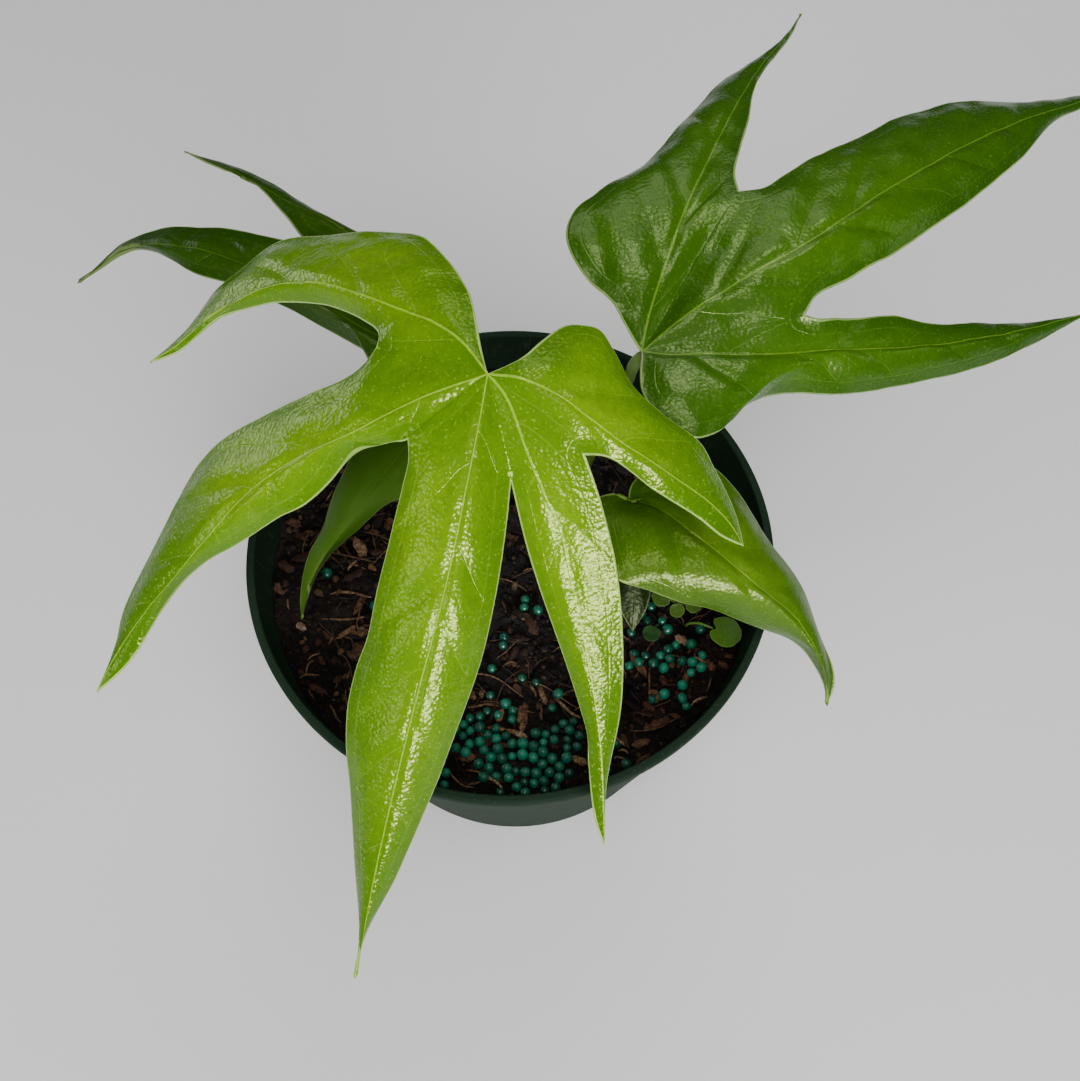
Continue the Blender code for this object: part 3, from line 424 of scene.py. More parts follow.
class AnthuriumSettings(bpy.types.PropertyGroup):
    """All settings of the potted anthurium."""

    leaf: bpy.props.PointerProperty(type=LeafSettings)
    pot: bpy.props.PointerProperty(type=PotSettings)
    weed: bpy.props.PointerProperty(type=WeedSettings)
    stage: bpy.props.PointerProperty(type=StageSettings)


def settings():
    """Settings of the current scene."""
    return bpy.context.scene.anthurium


def toned(colour, factor, lift=0.0):
    """Colour times a factor plus a lift, each one number or one per part."""
    return tuple((np.array(colour) * factor + lift).tolist())


def smooth(values, low, high):
    """Smooth step from 0 at low to 1 at high."""
    t = np.clip((values - low) / (high - low), 0.0, 1.0)
    return t * t * (3 - 2 * t)


def unit(vectors):
    """Vectors at length 1."""
    return vectors / np.maximum(np.linalg.norm(vectors, axis=-1, keepdims=True), 1e-12)


def circle(steps):
    """Angles of even steps round a circle."""
    return math.tau * np.arange(steps) / steps


def spun(radius, height, angle, centre=(0.0, 0.0)):
    """Points at radii, heights and angles about an upright axis."""
    x = centre[0] + radius * np.cos(angle)
    y = centre[1] + radius * np.sin(angle)
    return np.stack(np.broadcast_arrays(x, y, height), axis=-1)


def length_along(points):
    """Distance from a line's first point to each of its points."""
    steps = np.linalg.norm(np.diff(points, axis=0), axis=1)
    return np.concatenate([[0.0], np.cumsum(steps)])


def curve_through(points, fractions):
    """Smooth curve through the points, read at fractions of its length from 0 to 1.

    Between two points it is the cubic whose slopes at both ends are the central differences.
    """
    points = np.array(points, dtype=float)
    knots = length_along(points)
    steps = np.diff(knots)
    slopes = np.gradient(points, knots, axis=0)
    places = np.asarray(fractions, dtype=float) * knots[-1]
    piece = np.clip(np.searchsorted(knots, places, side="right") - 1, 0, len(steps) - 1)
    span = steps[piece][:, None]
    t = (places - knots[piece])[:, None] / span
    start = points[piece] * (2 * t ** 3 - 3 * t ** 2 + 1)
    end = points[piece + 1] * (3 * t ** 2 - 2 * t ** 3)
    leaving = slopes[piece] * (t ** 3 - 2 * t ** 2 + t) * span
    arriving = slopes[piece + 1] * (t ** 3 - t ** 2) * span
    return start + end + leaving + arriving


def grid_quads(rows, columns, wrap=False):
    """Corner numbers of the quads of a grid, which wraps round along its columns if asked."""
    row = np.arange(rows - 1)[:, None]
    column = np.arange(columns if wrap else columns - 1)[None, :]
    after = (column + 1) % columns
    corners = [row * columns + column, row * columns + after,
               (row + 1) * columns + after, (row + 1) * columns + column]
    return np.stack(corners, axis=-1).reshape(-1, 4)


def halved(quads):
    """Two triangles for each quad, split along its first diagonal."""
    return np.concatenate([quads[:, [0, 1, 2]], quads[:, [0, 2, 3]]])


def bar_faces(rings, sides, flipped=False):
    """Triangles of a closed bar of rings, whose last two points are its end points."""
    first = np.arange(sides)
    after = (first + 1) % sides
    start, last = rings * sides, (rings - 1) * sides
    start_cap = np.stack([np.full(sides, start), after, first], axis=1)
    end_cap = np.stack([np.full(sides, start + 1), first + last, after + last], axis=1)
    caps = np.concatenate([start_cap, end_cap])
    way = -1 if flipped else 1
    return np.concatenate([halved(grid_quads(rings, sides, wrap=True)[:, ::way]), caps[:, ::way]])


def join(parts):
    """One set of points and faces from several."""
    points, faces, offset = [], [], 0
    for part_points, part_faces in parts:
        points.append(part_points)
        faces.append(part_faces + offset)
        offset += len(part_points)
    return np.concatenate(points), np.concatenate(faces)


def weld(points, quads):
    """Points with doubles merged, triangles, their corners' old numbers, and each point's new one.

    Each quad is split along one diagonal, and triangles with two corners in one place are dropped.
    """
    triangles = halved(quads)
    kept, inverse = np.unique(np.round(points, 5), axis=0, return_inverse=True)
    inverse = inverse.reshape(-1)
    merged = inverse[triangles]
    whole = (merged != merged[:, [1, 2, 0]]).all(axis=1)
    return kept, merged[whole], triangles[whole], inverse


def point_normals(points, triangles):
    """Normal at each point: the sum of the area vectors of its triangles, at length 1."""
    first, second, third = (points[triangles[:, corner]] for corner in range(3))
    area = np.cross(second - first, third - first)
    normals = np.zeros_like(points)
    for corner in range(3):
        np.add.at(normals, triangles[:, corner], area)
    return unit(normals)


def edges_of(triangles):
    """All edges, in the direction that their triangle runs."""
    return np.concatenate([triangles[:, [0, 1]], triangles[:, [1, 2]], triangles[:, [2, 0]]])


def open_edges(triangles):
    """Edges with a triangle on one side only, in the direction that the triangle runs."""
    edges = edges_of(triangles)
    span = int(triangles.max()) + 1
    own = edges[:, 0] * span + edges[:, 1]
    other = edges[:, 1] * span + edges[:, 0]
    return edges[~np.isin(other, own)]


def tubes(paths, radii, sides, across=(0.31, 0.95, 0.05)):
    """Closed round tubes, one along each path: the points of each, and the faces of one.

    At each point of a path a circle of its radius is set square to the path. The circle starts
    square to the direction "across".
    """
    along = unit(np.gradient(paths, axis=1))
    start = unit(np.cross(along, across))
    up = np.cross(along, start)
    angle = circle(sides)[:, None]
    ring = np.cos(angle) * start[:, :, None] + np.sin(angle) * up[:, :, None]
    points = (paths[:, :, None] + radii[:, :, None, None] * ring).reshape(len(paths), -1, 3)
    points = np.concatenate([points, paths[:, :1], paths[:, -1:]], axis=1)
    return points, bar_faces(paths.shape[1], sides)


def tube(path, radii, sides):
    """One closed round tube: points and faces."""
    points, faces = tubes(path[None], radii[None], sides)
    return points[0], faces


def make_piece(name, points, faces, materials, replaced=(), values=None, shade=None,
               face_material=None, sharp=None):
    """Object with the given mesh, riding on the plant, in metres.

    The values are four numbers per corner, which go into the maps "veins" and "rim".
    """
    mesh = bpy.data.meshes.new(name)
    mesh.from_pydata((points * MM).tolist(), [], faces.tolist())
    for material in materials:
        mesh.materials.append(material)
    if values is not None:
        for map_name, first in (("veins", 0), ("rim", 2)):
            corners = np.ascontiguousarray(values[:, first:first + 2], dtype=np.float32)
            mesh.uv_layers.new(name=map_name).data.foreach_set("uv", corners.ravel())
    if shade is not None:
        attribute = mesh.attributes.new("shade", "FLOAT", "POINT")
        attribute.data.foreach_set("value", np.asarray(shade, dtype=np.float32))
    if face_material is not None:
        mesh.polygons.foreach_set("material_index", np.asarray(face_material, dtype=np.int32))
    mesh.shade_smooth()
    if sharp is not None:
        mesh.set_sharp_from_angle(angle=math.radians(sharp))
    mesh.update()
    piece = bpy.data.objects.new(name, mesh)
    bpy.context.scene.collection.objects.link(piece)
    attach(piece, "root")
    if replaced:
        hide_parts(*replaced)


class Finish:
    """Node tree of one material, with short calls for the nodes that it needs."""

    def __init__(self, name):
        self.material = bpy.data.materials.new(name)
        self.material.use_nodes = True
        self.tree = self.material.node_tree
        self.place = self.add("ShaderNodeTexCoord").outputs["Object"]

    def add(self, kind, inputs=(), **settings_of_node):
        """Node of a kind, with its inputs set to numbers or linked to sockets."""
        node = self.tree.nodes.new(kind)
        for key, value in settings_of_node.items():
            setattr(node, key, value)
        for key, value in dict(inputs).items():
            self.put(node.inputs[key], value)
        return node

    def put(self, socket, value):
        """Link a socket into an input, or set the input to a number or colour."""
        if isinstance(value, bpy.types.NodeSocket):
            self.tree.links.new(value, socket)
        elif isinstance(value, tuple) and len(value) == 3 and len(socket.default_value) == 4:
            socket.default_value = (*value, 1.0)
        else:
            socket.default_value = value

    def math(self, operation, *values):
        """Result of a Math node."""
        node = self.add("ShaderNodeMath", dict(enumerate(values)), operation=operation)
        return node.outputs[0]

    def times(self, first, second):
        """Product of two values."""
        return self.math("MULTIPLY", first, second)

    def scaled(self, value, factor, lift):
        """Value times a factor plus a lift."""
        return self.math("MULTIPLY_ADD", value, factor, lift)

    def less(self, first, second):
        """First value less the second."""
        return self.math("SUBTRACT", first, second)

    def away(self, value, middle):
        """Distance of a value from a middle one."""
        return self.math("ABSOLUTE", self.less(value, middle))

    def from_whole(self, value):
        """Distance of a value from the nearest whole number."""
        return self.away(self.math("FRACT", self.math("ADD", value, 0.5)), 0.5)

    def step(self, value, low, high):
        """Smooth step of a value from 0 at low to 1 at high."""
        node = self.add("ShaderNodeMapRange", {"Value": value, "From Min": low, "From Max": high},
                        interpolation_type="SMOOTHSTEP")
        return node.outputs["Result"]

    def line(self, distance, width, softness):
        """Mask of a line: 1 where the distance is under the width, fading over the softness."""
        return self.less(1.0, self.step(distance, width, width + softness))

    def mix(self, factor, first, second):
        """Mix of two colours."""
        inputs = {"Factor": factor, 6: first, 7: second}
        return self.add("ShaderNodeMix", data_type="RGBA", inputs=inputs).outputs[2]

    def layered(self, body, *layers):
        """Colour with layers over it, each a mask, the mask's share and a colour."""
        for mask, share, colour in layers:
            body = self.mix(self.times(mask, share), body, colour)
        return body

    def axis(self, name):
        """Object coordinate along one axis, in metres."""
        return self.add("ShaderNodeSeparateXYZ", {"Vector": self.place}).outputs[name]

    def noise(self, scale, detail=2.0, roughness=0.5, upright=1.0):
        """Noise with a scale per metre, which can be less along Z so that it runs in fibres."""
        vector = self.place
        if upright != 1.0:
            stretched = {"Vector": vector, "Scale": (1.0, 1.0, upright)}
            vector = self.add("ShaderNodeMapping", stretched).outputs["Vector"]
        inputs = {"Vector": vector, "Scale": scale, "Detail": detail, "Roughness": roughness}
        return self.add("ShaderNodeTexNoise", inputs).outputs["Fac"]

    def cells(self, scale, feature="F1"):
        """Distance output of a Voronoi texture with a scale per metre."""
        inputs = {"Vector": self.place, "Scale": scale}
        return self.add("ShaderNodeTexVoronoi", inputs, feature=feature).outputs["Distance"]

    def uv(self, name):
        """Both parts of a UV map."""
        node = self.add("ShaderNodeUVMap", uv_map=name)
        parts = self.add("ShaderNodeSeparateXYZ", {"Vector": node.outputs["UV"]})
        return parts.outputs["X"], parts.outputs["Y"]

    def shade(self):
        """Number that each scrap carries, from 0 to 1."""
        return self.add("ShaderNodeAttribute", attribute_name="shade").outputs["Fac"]

    def ramp(self, factor, stops):
        """Colour ramp through (place, colour) stops."""
        node = self.add("ShaderNodeValToRGB", {"Fac": factor})
        elements = node.color_ramp.elements
        while len(elements) < len(stops):
            elements.new(0.5)
        for element, (place, colour) in zip(elements, stops):
            element.position = place
            element.color = (*colour, 1.0)
        return node.outputs["Color"]

    def bumps(self, *layers):
        """Bumps on top of each other: a height from 0 to 1, a distance in metres, any strength."""
        normal = None
        for height, distance, *strength in layers:
            node = self.add("ShaderNodeBump", {"Height": height, "Distance": distance,
                                               "Strength": strength[0] if strength else 1.0})
            if normal is not None:
                self.put(node.inputs["Normal"], normal)
            normal = node.outputs["Normal"]
        return normal

    def finish(self, colour, roughness, normal=None, **constants):
        """Fill in the Principled shader and return the material."""
        inputs = self.tree.nodes["Principled BSDF"].inputs
        self.put(inputs["Base Color"], colour)
        self.put(inputs["Roughness"], roughness)
        if normal is not None:
            self.put(inputs["Normal"], normal)
        for key, value in constants.items():
            inputs[key.replace("_", " ")].default_value = value
        return self.material


def leaf_upper(name, colour, vein_colour, edge_highlight_colour, vein_strength, sheen, front_colour):
    """Glossy upper side of a leaf: veins, mottling and pebbling, a pale margin that is a painted
    highlight of the edge, and painted light and shade, darker toward the rim band and the tips.

    The sheen gives its strength, roughness, share of the wrinkles and blue of the reflections.
    A front colour, if any, is painted light and sheen: a lighter body colour toward the front of
    the pot, where that part of the leaf is lit.

    The map "veins" gives the side-vein count, whole at a vein, and the millimetres to the midrib.
    The map "rim" gives the millimetres to the margin and the fraction along the lobe.
    """
    finish = Finish(name)
    count, across = finish.uv("veins")
    rim, along = finish.uv("rim")

    midrib = finish.line(finish.less(across, finish.scaled(along, -0.15, 0.25)), 0.0, 0.12)
    # Painted shade: two dark lines beside the midrib, in the grooves that the bumps cut on either
    # side of it.
    beside = finish.line(finish.away(across, 0.6), 0.05, 0.25)
    weak = finish.line(finish.from_whole(count), 0.004, 0.020)
    half_turn = finish.times(finish.from_whole(finish.times(count, 0.5)), 2.0)
    side = finish.math("MAXIMUM", finish.times(weak, 0.35), finish.line(half_turn, 0.005, 0.028))
    side = finish.times(side, finish.step(rim, 3.0, 4.2))
    collective = finish.times(finish.line(finish.away(rim, COLLECTIVE_VEIN), 0.05, 0.3),
                              finish.step(across, 2.0, 5.0))

    broad = finish.noise(30.0, 4.0, 0.6)
    mottle = finish.noise(520.0, 4.0, 0.65)
    flecks = finish.step(finish.noise(1400.0, 1.0), 0.64, 0.74)
    deep = toned(colour, (0.38, 0.52, 0.5))
    light = toned(colour, (1.34, 1.18, 1.2))
    body = finish.mix(finish.step(broad, 0.3, 0.7), toned(colour, (0.69, 0.76, 0.75)), light)
    # Painted light and shade over the random tone: lighter within 9 mm of the midrib, darker in the
    # band outside the collective vein, toward the rim and toward the tips. The blade is also darker
    # near the junction.
    body = finish.layered(
        body, (mottle, 0.5, colour), (finish.step(mottle, 0.44, 0.60), 0.28, deep),
        (finish.step(across, 9.0, 0.0), 0.35, light),
        (finish.line(rim, 1.0, COLLECTIVE_VEIN), 0.25, deep),
        (finish.step(rim, 11.0, 0.0), 0.45, deep), (finish.step(along, 0.3, 0.95), 0.85, deep),
        (finish.step(along, 0.34, 0.06), 0.6, deep))
    if front_colour:
        # Painted light: the part of the blade toward the front of the pot gets a lighter colour.
        front = finish.step(finish.axis("Y"), 0.035, 0.005)
        body = finish.layered(body, (front, 0.8, front_colour))
    # Painted highlight: the pale line at the rim and on the round edge stands for the edge catching
    # light.
    body = finish.layered(
        body, (flecks, 0.45, vein_colour), (side, vein_strength, vein_colour),
        (collective, vein_strength * 0.7, vein_colour), (beside, 0.08, deep),
        (midrib, finish.scaled(mottle, 0.7, 0.4), vein_colour),
        (finish.line(rim, 0.14, 0.2), 1.0, edge_highlight_colour))

    gloss, rough, wrinkles, blue = sheen
    pebbles, dents = (finish.less(1.0, finish.cells(scale)) for scale in (950.0, 380.0))
    normal = finish.bumps(
        (finish.less(midrib, finish.times(beside, 0.25)), 0.00004),
        (finish.less(1.0, side), 0.00005), (finish.less(1.0, collective), 0.00004),
        (finish.noise(190.0, 1.0), 0.00018 * wrinkles), (dents, 0.00004 * wrinkles),
        (pebbles, 0.00006 * (1 + wrinkles)), (mottle, 0.00005 * wrinkles))
    return finish.finish(body, finish.scaled(mottle, 0.10, rough), normal,
                         Specular_IOR_Level=gloss, Specular_Tint=(0.9, 1.0, blue, 1.0))


def leaf_lower(name, colour, vein_colour):
    """Matte, paler underside of a leaf with a raised midrib and side veins."""
    finish = Finish(name)
    count, across = finish.uv("veins")
    rim, _ = finish.uv("rim")
    side = finish.times(finish.line(finish.from_whole(count), 0.012, 0.04),
                        finish.step(rim, 3.0, 4.2))
    net = finish.line(finish.cells(420.0, "DISTANCE_TO_EDGE"), 0.0, 0.1)
    mottle = finish.noise(500.0, 3.0, 0.6)
    pale = toned(colour, 0.75, (0.09, 0.11, 0.05))
    masks = ((net, 0.2), (side, 0.5), (finish.line(across, 0.9, 0.5), 0.8),
             (finish.line(rim, 0.2, 0.2), 1.0))
    body = finish.layered(finish.mix(mottle, pale, toned(pale, 0.8)),
                          *((mask, share, vein_colour) for mask, share in masks))
    return finish.finish(body, 0.55, finish.bumps((side, 0.00012), (mottle, 0.0001)))


def stalk_finish(name, colour):
    """Satin green of a leaf stalk, with fine lengthwise streaks and pale dots."""
    finish = Finish(name)
    streaks = finish.noise(1200.0, 3.0, 0.6, upright=0.06)
    dots = finish.step(finish.noise(1400.0, 1.0), 0.64, 0.72)
    light = toned(colour, 1.5, 0.02)
    body = finish.layered(finish.mix(streaks, colour, light), (dots, 0.5, light))
    return finish.finish(body, 0.42, finish.bumps((streaks, 0.0001)))


def pot_finish():
    """Satin dark green plastic with faint flow marks, fine scratches and dried splashes."""
    finish = Finish("pot_green_plastic")
    colour = tuple(settings().pot.colour)
    cloud = finish.noise(14.0, 4.0)
    scratches = finish.step(finish.noise(900.0, upright=0.12), 0.62, 0.70)
    low = finish.less(1.0, finish.step(finish.axis("Z"), 0.0, 0.035))
    splash = finish.step(finish.noise(160.0, 4.0, 0.65), 0.60, 0.70)
    body = finish.layered(finish.mix(cloud, colour, toned(colour, 1.35)),
                          (scratches, 0.18, (0.09, 0.11, 0.085)),
                          (splash, finish.scaled(low, 0.5, 0.10), (0.075, 0.062, 0.048)))
    normal = finish.bumps((finish.noise(2500.0), 0.00003), (finish.noise(60.0), 0.0003, 0.5))
    return finish.finish(body, finish.scaled(cloud, 0.14, 0.52), normal, Specular_IOR_Level=0.03)


def bed_finish():
    """Near-black potting mix with brown specks."""
    finish = Finish("potting_mix_dark")
    grains = finish.noise(700.0, 4.0, 0.7)
    body = finish.ramp(grains, [(0.32, (0.0030, 0.0022, 0.0018)), (0.52, (0.010, 0.0065, 0.0045)),
                                (0.66, (0.030, 0.017, 0.010)), (0.80, (0.075, 0.045, 0.028))])
    broad = finish.step(finish.noise(90.0, 4.0, 0.6), 0.35, 0.65)
    body = finish.mix(broad, body, (0.004, 0.003, 0.0025))
    normal = finish.bumps((grains, 0.0009), (finish.cells(500.0), 0.0006))
    return finish.finish(body, 0.92, normal, Specular_IOR_Level=0.25)


def scrap_finish(name, stops, roughness, streak):
    """Bark, crumbs or straw, with the colour of each scrap from its own shade and fine grain."""
    finish = Finish(name)
    grain = finish.noise(1100.0, 4.0, 0.65)
    fibre = finish.scaled(finish.noise(streak, 3.0, 0.6), 0.34, -0.17)
    body = finish.layered(finish.ramp(finish.math("ADD", finish.shade(), fibre), stops),
                          (finish.step(grain, 0.62, 0.42), 0.65, (0.006, 0.004, 0.003)))
    return finish.finish(body, roughness, finish.bumps((grain, 0.0004)), Specular_IOR_Level=0.3)


def prill_finish():
    """Waxy teal coating of the fertiliser prills, a little different on each."""
    finish = Finish("prill_teal")
    dust = finish.step(finish.noise(1300.0, 3.0), 0.60, 0.75)
    body = finish.ramp(finish.shade(), [(0.0, (0.000, 0.036, 0.020)), (0.5, (0.000, 0.085, 0.046)),
                                        (1.0, (0.001, 0.150, 0.082))])
    body = finish.layered(body, (dust, 0.25, (0.02, 0.02, 0.014)))
    normal = finish.bumps((finish.noise(900.0), 0.00012))
    return finish.finish(body, 0.33, normal, Specular_IOR_Level=0.6)


def stem_finish():
    """Green to brown bark of the stem with fine cracks."""
    finish = Finish("stem_green_brown")
    fine = finish.noise(900.0, 4.0, 0.65)
    body = finish.ramp(finish.noise(160.0, 4.0, 0.6), [
        (0.3, (0.045, 0.055, 0.014)), (0.55, (0.085, 0.085, 0.028)), (0.75, (0.110, 0.070, 0.032))])
    foot = finish.step(finish.axis("Z"), 0.099, 0.092)
    body = finish.layered(body, (foot, 1.0, (0.055, 0.030, 0.014)),
                          (finish.step(fine, 0.6, 0.45), 0.5, (0.012, 0.009, 0.005)))
    return finish.finish(body, 0.7, finish.bumps((fine, 0.0005)))


def sheath_finish():
    """Dry papery brown with lengthwise fibres."""
    finish = Finish("sheath_papery_brown")
    fibres = finish.noise(1500.0, 3.0, 0.6, upright=0.12)
    body = finish.ramp(fibres, [(0.3, (0.045, 0.024, 0.011)), (0.55, (0.120, 0.070, 0.034)),
                                (0.75, (0.220, 0.150, 0.085))])
    body = finish.layered(body, (finish.noise(300.0, 3.0), 0.5, (0.05, 0.03, 0.015)))
    return finish.finish(body, 0.75, finish.bumps((fibres, 0.0003)))


def weed_finish(name, colour, rim_colour):
    """Soft green of a seedling's leaf with radiating veins and a paler rim."""
    finish = Finish(name)
    turn, out = finish.uv("veins")
    rim, under = finish.uv("rim")
    veins = finish.line(finish.times(finish.from_whole(turn), out), 0.01, 0.03)
    mottle = finish.noise(700.0, 4.0, 0.6)
    body = finish.mix(mottle, toned(colour, 0.55), toned(colour, 1.3))
    masks = ((veins, 0.35), (finish.line(rim, 0.12, 0.25), 0.6), (under, 0.4))
    body = finish.layered(body, *((mask, share, rim_colour) for mask, share in masks))
    normal = finish.bumps((finish.less(1.0, veins), 0.00010), (mottle, 0.00020))
    return finish.finish(body, 0.5, normal, Specular_IOR_Level=0.4)


def slope_across(line, row_plan):
    """Rise of each row at a line, on the plane with the line's slope that is level across it."""
    way = np.gradient(line, axis=0)
    plan = way[:, :2]
    steepness = way[:, 2] / np.maximum(np.sum(plan ** 2, axis=1), 1e-9)
    return (steepness * np.sum(plan * row_plan, axis=1))[:, None]


def lobe_half(leaf, lobe, sinus, side, rows):
    """Points of half a lobe, from its midrib to its shared line and margin, and their places.

    A row runs straight in plan from the midrib to the edge. Its height leaves the midrib on the
    plane that holds the midrib's own slope. It is a cubic that arrives on the same kind of plane
    at the line shared with the next lobe, and a square beyond the sinus, with a low swell.
    """
    shared_rows, free_rows = rows
    every_row = np.arange(sum(rows) + 1) / sum(rows)
    shared = np.arange(shared_rows + 1) / shared_rows
    free = np.arange(1, free_rows + 1) / free_rows
    junction = np.array(leaf["junction"], dtype=float)
    fall = lobe["falls"][side == "after"]
    along = every_row
    if leaf["sinuses"]:
        sinus_at = leaf["sinus_at"]
        along = np.concatenate([shared * sinus_at, sinus_at + (1 - sinus_at) * free])
    midrib = curve_through([junction] + lobe["midrib"], along)
    rest_of_margin = lobe[side] + [lobe["midrib"][-1][:2]]
    if sinus is None:
        edge_plan = curve_through([junction[:2]] + rest_of_margin, every_row)
        edge_height = midrib[:, 2] - fall * np.sin(math.pi * every_row)
        joined, openness = 0 * every_row, 1 + 0 * every_row
    else:
        sinus = np.array(sinus, dtype=float)
        line = junction + (sinus - junction) * shared[:, None]
        margin = curve_through([sinus[:2]] + rest_of_margin, free)
        offset = sinus[2] - midrib[shared_rows, 2]
        height = (midrib[shared_rows + 1:, 2] + offset * (1 - free) ** 2
                  - fall * np.sin(math.pi * free))
        edge_plan = np.concatenate([line[:, :2], margin])
        edge_height = np.concatenate([line[:, 2], height])
        joined = np.concatenate([np.ones(shared_rows + 1), np.clip(1 - 3 * free, 0, 1)])
        openness = np.concatenate([np.zeros(shared_rows + 1), smooth(free, 0.0, 0.12)])

    even = np.arange(HALF_LOBE_COLUMNS + 1) / HALF_LOBE_COLUMNS
    across = 0.6 * even + 0.4 * (0.5 - 0.5 * np.cos(math.pi * even))
    row_plan = edge_plan - midrib[:, :2]
    plan = midrib[:, None, :2] + row_plan[:, None] * across[:, None]
    width = np.linalg.norm(row_plan, axis=1)[:, None]
    blend = joined[:, None]
    leaving = arriving = slope_across(midrib, row_plan)
    if sinus is not None:
        arriving = slope_across(junction + (sinus - junction) * every_row[:, None], row_plan)
    rise, turn = (edge_height - midrib[:, 2])[:, None] - leaving, arriving - leaving
    cubic = leaving * across + (3 * rise - turn) * across ** 2 + (turn - 2 * rise) * across ** 3
    square = leaving * across + rise * across ** 2
    swell = 0.035 * width * np.sin(math.pi * across) ** 2 * (1 - blend)
    height = midrib[:, 2][:, None] + blend * cubic + (1 - blend) * square + swell
    points = np.concatenate([plan, height[:, :, None]], axis=2)

    from_midrib = np.linalg.norm(points - midrib[:, None], axis=2)
    places = {"s": length_along(midrib)[:, None], "t": from_midrib, "along": along[:, None],
              "width": width, "open": openness[:, None], "across": across}
    places = {key: value + 0 * from_midrib for key, value in places.items()}
    places["margin"] = points[0 if sinus is None else shared_rows:, -1]
    return points, places


def distance_to_lines(points, lines):
    """Distance from each point to the nearest of the straight pieces of some lines."""
    starts = np.concatenate([line[:-1] for line in lines])
    ways = np.concatenate([np.diff(line, axis=0) for line in lines])
    sizes = np.maximum(np.sum(ways ** 2, axis=1), 1e-9)
    apart = points.reshape(-1, 1, 3) - starts
    foot = np.clip(np.sum(apart * ways, axis=2) / sizes, 0, 1)
    nearest = np.linalg.norm(apart - foot[:, :, None] * ways, axis=2).min(axis=1)
    return nearest.reshape(points.shape[:-1])


def settled(points, triangles):
    """Heights evened out inside the margin, so that no fold is left where parts of a blade meet.

    In each round a point takes the mean height of its neighbours, less what its own slope gives
    for the place of their middle.
    """
    edges = np.unique(np.sort(edges_of(triangles), axis=1), axis=0)
    at, other = np.concatenate([edges, edges[:, ::-1]]).T
    count = len(points)
    degree = np.bincount(at, minlength=count)
    middle = [np.bincount(at, points[other, axis], count) / degree for axis in (0, 1)]
    fixed = np.unique(open_edges(triangles))
    points = points.copy()
    for _ in range(SETTLING_ROUNDS):
        normals = point_normals(points, triangles)
        upright = np.where(np.abs(normals[:, 2]) < 0.2, 0.2, normals[:, 2])
        lean = (normals[:, 0] * (middle[0] - points[:, 0])
                + normals[:, 1] * (middle[1] - points[:, 1])) / upright
        height = np.bincount(at, points[other, 2], count) / degree + lean
        height[fixed] = points[fixed, 2]
        points[:, 2] = height
    return points


def vein_count(places, spacing, number, side):
    """Count of side veins passed, whole at a vein.

    A vein leaves the midrib forwards at about 35 degrees and bends towards the tip, and behind the
    first one the veins spread from the junction. The spacing wavers, and the two sides take turns.
    """
    slant = 1.45 * places["t"] + 0.012 * places["t"] ** 2
    ahead = (places["s"] - slant) / spacing
    behind = -1.6 * (slant - places["s"]) / (slant + places["s"] + 1.0)
    count = np.where(ahead > 0, ahead, behind)
    count = count + 0.22 * np.sin(1.9 * count + 2.3 * number) + 0.05 * np.sin(0.5 * places["t"])
    return count + (0.8 if side == "after" else 0.0)


def waves(x, y, wavelength, count, seed):
    """Sum of sines in seeded directions, near 0 to 1 in size and smooth at the given wavelength."""
    draw = default_rng(seed)
    total = 0.0
    for _ in range(count):
        heading = draw.uniform(0, math.tau)
        length = wavelength * draw.uniform(0.7, 1.4)
        phase = draw.uniform(0, math.tau)
        way = x * math.cos(heading) + y * math.sin(heading)
        total = total + np.sin(math.tau * way / length + phase)
    return total / math.sqrt(count)


def relief(grid, places, count, quilting, number, side, seed):
    """Height of the pillows, the rim band and the waves at each point of half a lobe.

    From one strong vein to the next a pillow rises and then falls as a quarter sine each, and a
    weaker one of pi times the count creases at every vein. It fades to nothing at the midrib and
    at the margin, and to its mean where two lobes join. Outside the collective vein the blade
    falls in a band, and low waves in plan unsettle the whole blade.
    """
    size = np.clip(places["width"] / 16.0, 0.0, 1.0)
    fade = smooth(places["t"], 0.0, 3.0) * smooth(places["rim"], 0.0, 7.0)
    turn = count / 2 - np.floor(count / 2)
    pillow = np.sin(math.pi / 2 * np.minimum(turn / PILLOW_RISE, (1 - turn) / (1 - PILLOW_RISE)))
    pillow = pillow + 0.14 * np.abs(np.sin(math.pi * count))
    joined = smooth(places["across"], 1.0, 0.5)
    pillow = 0.7 + (pillow - 0.7) * (joined + (1 - joined) * places["open"])
    band = np.clip(1 - places["rim"] / COLLECTIVE_VEIN, 0, 1)
    wave = np.sin(places["s"] * 0.24 + 1.7 * number + (2.0 if side == "after" else 0.0))
    ends = smooth(places["along"], 0.25, 0.4) * smooth(places["along"], 1.0, 0.85)
    x, y = grid[:, :, 0], grid[:, :, 1]
    return (quilting * size * fade * pillow - 0.07 * size * band
            + 0.35 * size * ends * wave * places["across"] ** 2
            + 0.17 * waves(x, y, 14.0, 7, seed) + 0.06 * waves(x, y, 6.5, 9, seed + 1))


